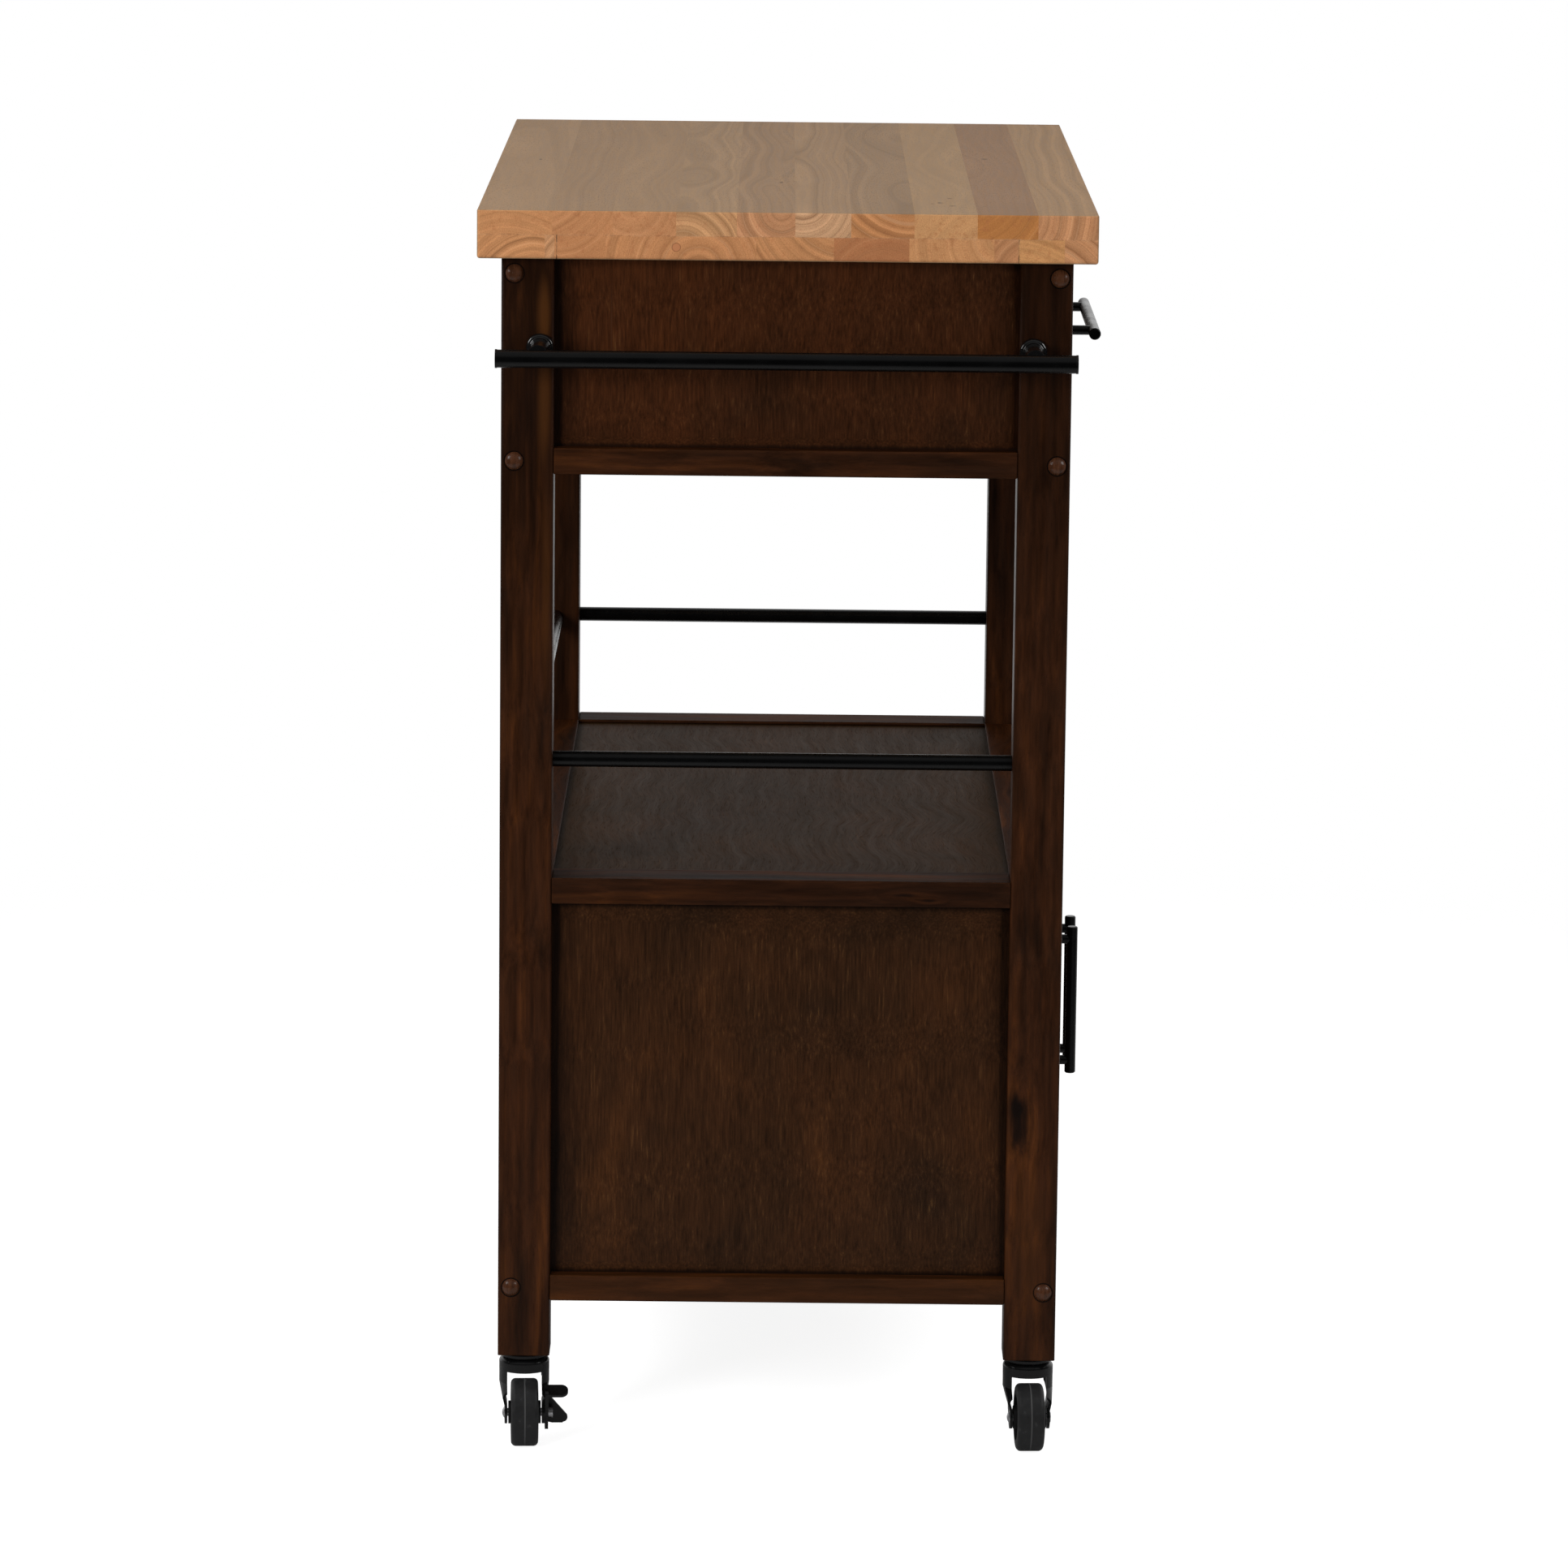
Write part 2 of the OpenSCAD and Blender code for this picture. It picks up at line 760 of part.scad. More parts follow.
module door_frame() {
    panel_y = face_y + (door_t - door_panel_t) / 2;
    s0 = -door_out + stile_w;
    s1 = -door_in - stile_w;
    color(wood_stained) {
        difference() {
            union() {
                stile(-door_out, s0, true);
                stile(s1, -door_in, false);
            }
            block([s0 - groove_d, panel_y - fit, door_z0 - over],
                  [s1 + groove_d, panel_y + door_panel_t + fit, door_z1 + over]);
            rod_z([-pivot_x, pivot_y, door_z0 - over], pin_in_door + 2 * over,
                  pivot_d / 2 + pin_fit);
            rod_z([-pivot_x, pivot_y, door_z1 - pin_in_door - over], pin_in_door + 2 * over,
                  pivot_d / 2 + pin_fit);
            handle_holes();
        }
        for (z = [door_z0, door_z1 - stile_w]) difference() {
            union() {
                block([s0, face_y, z], [s1, door_back, z + stile_w]);
                block([s0 - tongue, panel_y, z], [s1 + tongue, panel_y + door_panel_t, z + stile_w]);
            }
            groove_z = z == door_z0 ? z + stile_w - groove_d : z - over;
            block([s0 - groove_d - over, panel_y - fit, groove_z],
                  [s1 + groove_d + over, panel_y + door_panel_t + fit, groove_z + groove_d + over]);
        }
    }
}

module door_panel() {
    panel_y = face_y + (door_t - door_panel_t) / 2;
    color(wood_stained)
        block([-door_out + stile_w - tongue, panel_y, door_z0 + stile_w - tongue],
              [-door_in - stile_w + tongue, panel_y + door_panel_t, door_z1 - stile_w + tongue]);
}

module handle_holes() {
    for (side = [-1, 1])
        rod_y([-handle_x, face_y - over, handle_z + side * handle_cc / 2], door_t + 2 * over,
              screw_d / 2 + pin_fit);
}

module door_handle() {
    color(metal_black) translate([-handle_x, face_y - handle_out, handle_z]) rotate([0, 90, 0]) {
        bar_pull(handle_d, handle_l, handle_cc, handle_out);
        pull_screws(handle_cc, door_t, handle_out);
    }
}

// Pivot pins with their collars, and the strike plate of the catch
module door_fittings() {
    collar_h = front_gap - collar_gap;
    color(metal_bright) {
        rod_z([-pivot_x, pivot_y, bottom_top - pivot_deep], pivot_deep + front_gap + pin_in_door,
              pivot_d / 2);
        rod_z([-pivot_x, pivot_y, door_z0 - collar_h], collar_h, collar_d / 2);
        rod_z([-pivot_x, pivot_y, door_z1 - pin_in_door], pin_in_door + front_gap + pivot_deep,
              pivot_d / 2);
        rod_z([-pivot_x, pivot_y, door_z1], collar_h, collar_d / 2);
        block([-catch_x - strike_w / 2, door_back, door_z1 - strike_h],
              [-catch_x + strike_w / 2, door_back + strike_t, door_z1]);
    }
}

// Magnetic catches under the front shelf rail, one behind each door
module door_catches() {
    y0 = door_back + strike_t + catch_gap;
    color(metal_black) both_ends()
        block([-catch_x - catch_w / 2, y0, shelf_under - catch_h],
              [-catch_x + catch_w / 2, y0 + catch_l, shelf_under]);
}

// Gallery
module tube(l, d) {
    difference() {
        cylinder(h = l, r = d / 2);
        translate([0, 0, -over]) cylinder(h = l + 2 * over, r = d / 2 - tube_wall);
    }
}

module gallery_end_tubes() {
    l = 2 * (iy + gallery_deep);
    color(metal_black) both_ends()
        translate([-pcx, -l / 2, gallery_z]) rotate([-90, 0, 0]) tube(l, gallery_d);
}

module gallery_back_tube() {
    l = 2 * (ix + gallery_deep);
    color(metal_black) translate([-l / 2, pcy, gallery_z]) rotate([0, 90, 0]) tube(l, gallery_d);
}

// Towel bar on the left end, with a plug in each end
module towel_bar() {
    plug_l = 12;
    rim = 1.5;
    color(metal_black) {
        translate([-hx - towel_out, -towel_l / 2 + rim, towel_z]) rotate([-90, 0, 0])
            tube(towel_l - 2 * rim, towel_d);
        front_and_back() translate([-hx - towel_out, -towel_l / 2, towel_z]) {
            rod_y([0, 0, 0], rim, towel_d / 2 + 0.3);
            rod_y([0, rim, 0], plug_l, towel_d / 2 - tube_wall - pin_fit);
        }
    }
}

// Bracket turned round X: rounded flange on the post, neck out to the bar
module towel_bar_brackets() {
    edge = 2.5;
    flange_h = 5;
    root = 1.5;
    flange_r = bracket_flange_d / 2;
    neck_r = bracket_neck_d / 2;
    color(metal_black) front_and_back() difference() {
        translate([-hx, -bracket_cc / 2, towel_z + bracket_rise]) rotate([0, -90, 0])
        rotate_extrude() {
            square([flange_r, flange_h - edge]);
            square([flange_r - edge, flange_h]);
            translate([flange_r - edge, flange_h - edge]) circle(edge);
            difference() {
                square([neck_r + root, flange_h + root]);
                translate([neck_r + root, flange_h + root]) circle(root);
            }
            square([neck_r, towel_out]);
        }
        rod_y([-hx - towel_out, -bracket_cc, towel_z], bracket_cc, towel_d / 2 + pin_fit);
        block([-hx - towel_out - towel_d, -bracket_cc, towel_z - towel_d],
              [-hx - towel_out, 0, towel_z + towel_d * 2]);
    }
}

// Bolts, nuts and caps, drawn at the front left and mirrored to all corners
module at_bolts() {
    both_ends() front_and_back() for (z = bolt_zs) translate([-hx, -bolt_y, z]) children();
}

module bolt_caps() {
    dome_r = (cap_d * cap_d / 4 + cap_h * cap_h) / (2 * cap_h);
    color(wood_stained) at_bolts() {
        rotate([0, -90, 0]) rotate_extrude() intersection() {
            translate([0, cap_h - dome_r]) circle(dome_r);
            square([cap_d, cap_h]);
        }
        rod_x([0, 0, 0], cap_stem_l, sink_d / 2 - fit);
    }
}

module connector_bolts() {
    color(metal_bright) at_bolts() {
        rod_x([sink_deep - head_h, 0, 0], head_h, bolt_head_d / 2);
        rod_x([sink_deep, 0, 0], post_w - sink_deep + bolt_reach, bolt_d / 2);
    }
}

module barrel_nuts() {
    color(metal_bright) at_bolts() difference() {
        rod_z([post_w + nut_in, 0, -nut_d / 2], nut_d, nut_d / 2);
        rod_x([post_w, 0, 0], bolt_reach + over, bolt_d / 2 + pin_fit);
    }
}

// Places a caster under its post, turned as it stands
module at_caster(sx, sy) {
    translate([sx * pcx, sy * pcy, 0]) rotate([0, 0, caster_turn]) children();
}

// Stem in the post, race under it, and the king pin riveted below the fork's crown
module caster_stems() {
    edge = 1.8;
    pin_r = stem_d / 2;
    color(metal_black) for (sx = [-1, 1], sy = [-1, 1]) at_caster(sx, sy) {
        rotate_extrude() {
            translate([0, caster_h]) square([pin_r, stem_l]);
            translate([0, caster_h - race_h]) {
                square([race_d / 2 - edge, race_h]);
                translate([0, edge]) square([race_d / 2, race_h - 2 * edge]);
                for (y = [edge, race_h - edge])
                    translate([race_d / 2 - edge, y]) circle(edge);
            }
            translate([0, crown_top - fork_t - 0.2 - rivet_h])
                square([pin_r, caster_h - crown_top + fork_t + rivet_h]);
            translate([0, crown_top - fork_t - 0.2 - rivet_h]) square([rivet_d / 2, rivet_h]);
        }
    }
}

// Point where a line from p touches the circle round c, on the side s of that line
function touch(p, c, r, s) =
    let (d = norm(p - c), a = atan2(p[1] - c[1], p[0] - c[0]) + s * acos(r / d))
    [c[0] + r * cos(a), c[1] + r * sin(a)];

// Outline of a fork's leg from the side, with X along the trail and Y as height
module leg_outline() {
    c = [-trail, wheel_r];
    back = [-crown_d * 0.44, crown_rim - 2];
    front = [crown_d * 0.36, crown_rim - 5];
    polygon([
        [back[0], crown_top], back, touch(back, c, boss_r, 1),
        c, touch(front, c, boss_r, -1), front, [front[0], crown_top]
    ]);
    translate(c) circle(boss_r);
}

// Section of the fork's two legs from the bowed crown to the straight plates
module leg_shell(r, half_w, more) {
    back = trail + boss_r + 10;
    hull() {
        translate([0, 0, bow_z + more]) cylinder(h = 0.01, r = r, $fn = 128);
        translate([-back, -half_w, leg_z - more]) cube([back + 4, 2 * half_w, 0.01]);
    }
}

// Fork pressed from sheet: cup-shaped crown, legs bowed at the top and flat at the axle
module fork(sx, sy) {
    r = crown_d / 2;
    half_w = fork_w / 2;
    color(metal_black) at_caster(sx, sy) difference() {
        union() {
            rotate_extrude() difference() {
                union() {
                    translate([0, crown_rim]) square([r, crown_top - crown_rim - shoulder]);
                    translate([0, crown_rim]) square([r - shoulder, crown_top - crown_rim]);
                    translate([r - shoulder, crown_top - shoulder]) circle(shoulder);
                }
                translate([0, crown_rim - over])
                    square([r - fork_t, crown_top - crown_rim - fork_t + over]);
                square([stem_d / 2 + pin_fit, caster_h]);
            }
            intersection() {
                rotate([90, 0, 0]) linear_extrude(height = 2 * crown_d, center = true)
                    leg_outline();
                difference() {
                    union() {
                        translate([0, 0, bow_z])
                            cylinder(h = crown_rim - bow_z + 2, r = r - ledge);
                        leg_shell(r, half_w, 0);
                        block([-trail - 2 * boss_r, -half_w, 0], [trail, half_w, leg_z]);
                    }
                    translate([0, 0, bow_z])
                        cylinder(h = crown_rim - bow_z + 4, r = r - fork_t - ledge);
                    leg_shell(r - fork_t, half_w - fork_t, 0.02);
                    block([-crown_d * 2, fork_t - half_w, -over],
                          [crown_d, half_w - fork_t, crown_rim]);
                }
            }
        }
        rod_y([-trail, -crown_d, wheel_r], 2 * crown_d, axle_d / 2 + pin_fit);
    }
}

// Wheel turned round its axle: tread with rounded shoulders, thin web, long hub
module wheel(sx, sy) {
    shoulder_r = 3.5;
    rim_in = wheel_r - 8;
    web_w = 8;
    half = wheel_w / 2;
    color(wheel_grey) at_caster(sx, sy) translate([-trail, 0, wheel_r]) rotate([90, 0, 0])
    rotate_extrude() difference() {
        union() {
            translate([rim_in, -half]) square([wheel_r - shoulder_r - rim_in, wheel_w]);
            translate([rim_in, shoulder_r - half])
                square([wheel_r - rim_in, wheel_w - 2 * shoulder_r]);
            for (side = [-1, 1])
                translate([wheel_r - shoulder_r, side * (half - shoulder_r)]) circle(shoulder_r);
            translate([0, -web_w / 2]) square([rim_in + over, web_w]);
            translate([0, -hub_w / 2]) square([boss_r, hub_w]);
        }
        translate([0, -hub_w]) square([axle_d / 2 + pin_fit, 2 * hub_w]);
    }
}

// Whether the caster at this corner has a brake
function braked(sy) = sy > 0;

// Axle rivet: domed head at the back, flat end at the front, with a collar over a lever
module axle(sx, sy) {
    half_w = fork_w / 2;
    lever_room = braked(sy) ? lever_t + 2 * lever_gap : 0;
    collar_h = braked(sy) ? collar_side_h : 0;
    end_y = half_w + lever_room + collar_h;
    dome_r = (axle_head_d * axle_head_d / 4 + axle_head_h * axle_head_h) / (2 * axle_head_h);
    color(metal_bright) at_caster(sx, sy) translate([-trail, 0, wheel_r]) {
        rod_y([0, -end_y - rivet_end_h, 0], end_y + rivet_end_h + half_w, axle_d / 2);
        translate([0, half_w, 0]) rotate([-90, 0, 0]) rotate_extrude() intersection() {
            translate([0, axle_head_h - dome_r]) circle(dome_r);
            square([axle_head_d, axle_head_h]);
        }
        rod_y([0, -end_y - rivet_end_h, 0], rivet_end_h, rivet_end_d / 2);
        if (collar_h > 0)
            rod_y([0, -end_y, 0], collar_h, axle_d / 2 + 0.6);
    }
}

// Side of the brake lever that lies against the fork: hub, arm up and back, foot down
module lever_side() {
    circle(lever_hub_r);
    polygon([
        [-6, -3], [-12.8, 8], [-13.8, 19], [-5.8, 20.5],
        [-7.6, 6], [lever_in, 3.5], [lever_in, -9], [3, -12], [-4, -12]
    ]);
}

// Tab pressed to lock the wheel: a rounded strip that slopes down to the back
module lock_tab() {
    w = 10.5;
    l = 17;
    translate([-9.2, 0, 18.2]) rotate([0, -33, 0]) translate([0, 0, -lever_t / 2])
    linear_extrude(height = lever_t) {
        translate([-w / 2, -l + w / 2]) square([w, l - w / 2]);
        translate([0, -l + w / 2]) circle(w / 2);
    }
}

// Tab pressed to free the wheel: a rounded triangle in front of the axle
module free_tab() {
    tip_r = 3.6;
    translate([lever_in, 0, 0]) rotate([90, 0, -90]) linear_extrude(height = lever_t) {
        polygon([
            [1.2, 3.5], [2.4, 9.3], [5, 9.3], [15.9, -3.2], [13.4, -10], [5.6, -10], [1.2, -9]
        ]);
        translate([13.4, -5.8]) circle(tip_r);
    }
}

// Side brake lever that turns on the axle
module brake_lever(sx, sy) {
    y = -fork_w / 2 - lever_gap;
    color(metal_black) at_caster(sx, sy) translate([-trail, y, wheel_r]) difference() {
        union() {
            rotate([90, 0, 0]) linear_extrude(height = lever_t) lever_side();
            lock_tab();
            free_tab();
        }
        rod_y([0, -2 * lever_t, 0], 4 * lever_t, axle_d / 2 + pin_fit);
    }
}

worktop_board();
worktop_long_strips();
worktop_end_strips();
post(-1, -1);  // post_front_left
post(1, -1);  // post_front_right
post(-1, 1);  // post_back_left
post(1, 1);  // post_back_right
end_rails();  // left_end_rails
mirror([1, 0, 0]) end_rails();  // right_end_rails
end_panels();  // left_end_panels
mirror([1, 0, 0]) end_panels();  // right_end_panels
front_top_rail();
front_drawer_rail();
front_shelf_rail();
front_bottom_rail();
back_rails();
back_panels();
shelf_board();
cabinet_floor();
drawer_cleats();
slide_outer_members();
gallery_end_tubes();
gallery_back_tube();
towel_bar();
towel_bar_brackets();
bolt_caps();
connector_bolts();
barrel_nuts();
caster_stems();
door_catches();
drawer_front();
drawer_sides();
drawer_back();
drawer_bottom();
slide_inner_members();
drawer_pull();
slide_ball_cages();
door_frame();  // left_door_frame
door_panel();  // left_door_panel
door_handle();  // left_door_handle
door_fittings();  // left_door_fittings
mirror([1, 0, 0]) door_frame();  // right_door_frame
mirror([1, 0, 0]) door_panel();  // right_door_panel
mirror([1, 0, 0]) door_handle();  // right_door_handle
mirror([1, 0, 0]) door_fittings();  // right_door_fittings
fork(-1, -1);  // fork_front_left
fork(1, -1);  // fork_front_right
fork(-1, 1);  // fork_back_left
fork(1, 1);  // fork_back_right
wheel(-1, -1);  // wheel_front_left
wheel(1, -1);  // wheel_front_right
wheel(-1, 1);  // wheel_back_left
wheel(1, 1);  // wheel_back_right
axle(-1, -1);  // axle_front_left
axle(1, -1);  // axle_front_right
axle(-1, 1);  // axle_back_left
axle(1, 1);  // axle_back_right
brake_lever(-1, 1);  // brake_lever_back_left
brake_lever(1, 1);  // brake_lever_back_right
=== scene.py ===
import math

import bpy
from mathutils import Matrix, Vector


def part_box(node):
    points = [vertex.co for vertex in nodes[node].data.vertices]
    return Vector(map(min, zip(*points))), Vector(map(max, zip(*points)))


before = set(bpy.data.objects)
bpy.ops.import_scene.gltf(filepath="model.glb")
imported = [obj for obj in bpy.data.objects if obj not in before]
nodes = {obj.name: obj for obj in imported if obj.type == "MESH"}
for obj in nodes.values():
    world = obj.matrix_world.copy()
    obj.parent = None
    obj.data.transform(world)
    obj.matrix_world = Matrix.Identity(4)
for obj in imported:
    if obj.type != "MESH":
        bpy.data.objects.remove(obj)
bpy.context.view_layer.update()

# Sizes of the cart that the materials follow, in metres

# Worktop: length, width, height, and the thickness of one layer
TOP_L, TOP_W, TOP_Z, LAYER = 0.762, 0.444, 0.914, 0.0175
# Width of the strips under the worktop's long edges, and the plug in its left end
STRIP_W = 0.057
PLUG_Y, PLUG_Z, PLUG_R = 0.0796, 0.8885, 0.0030
# Left faces of the posts and of the end panels, and half the openings between the posts
END_X, PANEL_X = -0.364, -0.351
OPEN_X, OPEN_Y = 0.326, 0.167
SHELF_Z = 0.4235
# Opening in a door's frame: nearest to the cart's middle, furthest from it, lowest and highest
DOOR_NEAR, DOOR_FAR, DOOR_LOW, DOOR_HIGH = 0.046, 0.279, 0.176, 0.360
# Places and radius of the caps over the bolts
CAP_Y, CAP_R, CAP_HEIGHTS = 0.1955, 0.0066, (0.1195, 0.7315, 0.867)
# Radius of the wheels, and how far the casters are turned
WHEEL_R, CASTER_TURN = 0.025, math.radians(3)
# Widths of the small bevels on edges
EASE, DOOR_EASE, DRAWER_EASE, SMALL_EASE, SHEET_EASE = 0.0009, 0.0011, 0.0008, 0.0006, 0.0003

CORNERS = ("front_left", "front_right", "back_left", "back_right")


# Node tree helpers


class Tree:
    """A material's nodes. Most methods add nodes and give back an output."""

    def __init__(self, name):
        self.material = bpy.data.materials.new(name)
        self.material.use_nodes = True
        self.tree = self.material.node_tree
        self.tree.nodes.clear()
        self.out = self.add("ShaderNodeOutputMaterial")
        self.shader = self.add("ShaderNodeBsdfPrincipled")
        self.tree.links.new(self.shader.outputs["BSDF"], self.out.inputs["Surface"])
        coords = self.add("ShaderNodeTexCoord")
        self.place = coords.outputs["Object"]
        self.normal = coords.outputs["Normal"]

    def add(self, kind):
        return self.tree.nodes.new(kind)

    def put(self, socket, value):
        """Links an output to a socket, or sets the socket to a constant."""
        if isinstance(value, bpy.types.NodeSocket):
            self.tree.links.new(value, socket)
        elif value is not None:
            socket.default_value = value

    def math(self, op, a, b=None):
        n = self.add("ShaderNodeMath")
        n.operation = op
        self.put(n.inputs[0], a)
        self.put(n.inputs[1], b)
        return n.outputs[0]

    def plus(self, a, b):
        return self.math("ADD", a, b)

    def minus(self, a, b):
        return self.math("SUBTRACT", a, b)

    def times(self, a, b):
        return self.math("MULTIPLY", a, b)

    def gap(self, a, b):
        """How far apart two values are."""
        return self.math("ABSOLUTE", self.minus(a, b))

    def vector(self, op, a, b=None, scale=None):
        n = self.add("ShaderNodeVectorMath")
        n.operation = op
        self.put(n.inputs[0], a)
        self.put(n.inputs[1], b)
        if scale is not None:
            self.put(n.inputs["Scale"], scale)
        return n.outputs["Value" if op in ("LENGTH", "DOT_PRODUCT") else "Vector"]

    def split(self, vector):
        n = self.add("ShaderNodeSeparateXYZ")
        self.put(n.inputs[0], vector)
        return n.outputs[0], n.outputs[1], n.outputs[2]

    def join(self, x, y, z):
        n = self.add("ShaderNodeCombineXYZ")
        for socket, value in zip(n.inputs, (x, y, z)):
            self.put(socket, value)
        return n.outputs[0]

    def facing(self, axis):
        """1 on faces square to an axis, and 0 on faces along it."""
        return self.math("ABSOLUTE", self.split(self.normal)[axis])

    def noise(self, vector, scale, detail, rough=0.5, bend=0.0):
        n = self.add("ShaderNodeTexNoise")
        self.put(n.inputs["Vector"], vector)
        n.inputs["Scale"].default_value = scale
        n.inputs["Detail"].default_value = detail
        n.inputs["Roughness"].default_value = rough
        n.inputs["Distortion"].default_value = bend
        return n.outputs["Fac"]

    def drawn(self, xyz, scales, detail, rough=0.5):
        """Noise drawn out, with a scale of its own along each axis."""
        return self.noise(self.join(*map(self.times, xyz, scales)), 1.0, detail, rough)

    def line_noise(self, value, detail, rough=0.55):
        n = self.add("ShaderNodeTexNoise")
        n.noise_dimensions = "1D"
        self.put(n.inputs["W"], value)
        n.inputs["Scale"].default_value = 1.0
        n.inputs["Detail"].default_value = detail
        n.inputs["Roughness"].default_value = rough
        return n.outputs["Fac"]

    def white(self, x, y):
        n = self.add("ShaderNodeTexWhiteNoise")
        n.noise_dimensions = "2D"
        self.put(n.inputs["Vector"], self.join(x, y, 0.0))
        return n.outputs["Value"]

    def ramp(self, fac, stops, how="LINEAR"):
        n = self.add("ShaderNodeValToRGB")
        self.put(n.inputs[0], fac)
        r = n.color_ramp
        r.interpolation = how
        while len(r.elements) > 1:
            r.elements.remove(r.elements[-1])
        for i, (at, colour) in enumerate(stops):
            e = r.elements[0] if i == 0 else r.elements.new(at)
            e.position = at
            e.color = (*colour, 1.0) if isinstance(colour, tuple) else (colour,) * 3 + (1.0,)
        return n.outputs["Color"]

    def mix(self, fac, a, b, how="MIX"):
        n = self.add("ShaderNodeMix")
        n.data_type = "RGBA"
        n.blend_type = how
        for socket, value in ((n.inputs[0], fac), (n.inputs[6], a), (n.inputs[7], b)):
            if isinstance(value, tuple):
                value = (*value, 1.0)
            self.put(socket, value)
        return n.outputs[2]

    def brighten(self, colour, factor):
        """A colour multiplied by a factor that varies over the surface."""
        return self.vector("SCALE", colour, scale=factor)

    def span(self, value, lo, hi, to_lo=0.0, to_hi=1.0, smooth=True):
        """A value's range carried over to another range, and held at its ends."""
        n = self.add("ShaderNodeMapRange")
        n.interpolation_type = "SMOOTHSTEP" if smooth else "LINEAR"
        self.put(n.inputs["Value"], value)
        n.inputs["From Min"].default_value = lo
        n.inputs["From Max"].default_value = hi
        n.inputs["To Min"].default_value = to_lo
        n.inputs["To Max"].default_value = to_hi
        return n.outputs["Result"]

    def even(self, value, lo, hi, to_lo, to_hi):
        """A span with even steps."""
        return self.span(value, lo, hi, to_lo, to_hi, smooth=False)

    def bump(self, height, strength, distance, normal=None):
        n = self.add("ShaderNodeBump")
        self.put(n.inputs["Normal"], normal)
        n.inputs["Strength"].default_value = strength
        n.inputs["Distance"].default_value = distance
        self.put(n.inputs["Height"], height)
        return n.outputs["Normal"]

    def edges(self, radius, patches):
        """1 along sharp edges, broken up by a noise of the given scale, and 0 elsewhere. The
        normal rounded over those edges is kept as self.rounded."""
        rounded = self.add("ShaderNodeBevel")
        rounded.samples = 3
        rounded.inputs["Radius"].default_value = radius
        self.rounded = rounded.outputs[0]
        here = self.add("ShaderNodeNewGeometry")
        flat = self.vector("DOT_PRODUCT", self.rounded, here.outputs["Normal"])
        worn = self.span(self.minus(1.0, flat), 0.01, 0.16)
        return self.times(worn, self.span(self.noise(self.place, patches, 4.0, 0.65),
                                          0.42, 0.62, 0.15, 1.0))

    def set(self, **values):
        """Sets the shader's inputs, named with _ for a space."""
        for name, value in values.items():
            self.put(self.shader.inputs[name.replace("_", " ")], value)


# Stained wood

# Stain from its dark to its light clouds on boards, and from its dark to its light blotches on veneer
BOARD_STAIN = [(0.27, (0.0105, 0.0046, 0.0024)), (0.42, (0.0215, 0.0076, 0.0030)),
               (0.55, (0.0320, 0.0104, 0.0036)), (0.74, (0.0640, 0.0195, 0.0045))]
VENEER_STAIN = [(0.28, (0.0165, 0.0074, 0.0034)), (0.45, (0.0260, 0.0103, 0.0040)),
                (0.60, (0.0330, 0.0122, 0.0044)), (0.76, (0.0470, 0.0165, 0.0050))]
# Tint of the veneer by its height in metres
VENEER_TINT = [(0.45, (1.0, 1.0, 1.0)), (0.72, (1.22, 1.0, 0.86))]
# Colour of the gold flecks in the veneer, and of the painted shade in the gaps round the caps
GOLD_FLECK, CAP_GAP_SHADE = (0.078, 0.036, 0.0115), (0.0015, 0.0010, 0.0008)
CUT_STAIN, RUBBED_STAIN = (0.012, 0.0055, 0.0035), (0.066, 0.0245, 0.0085)


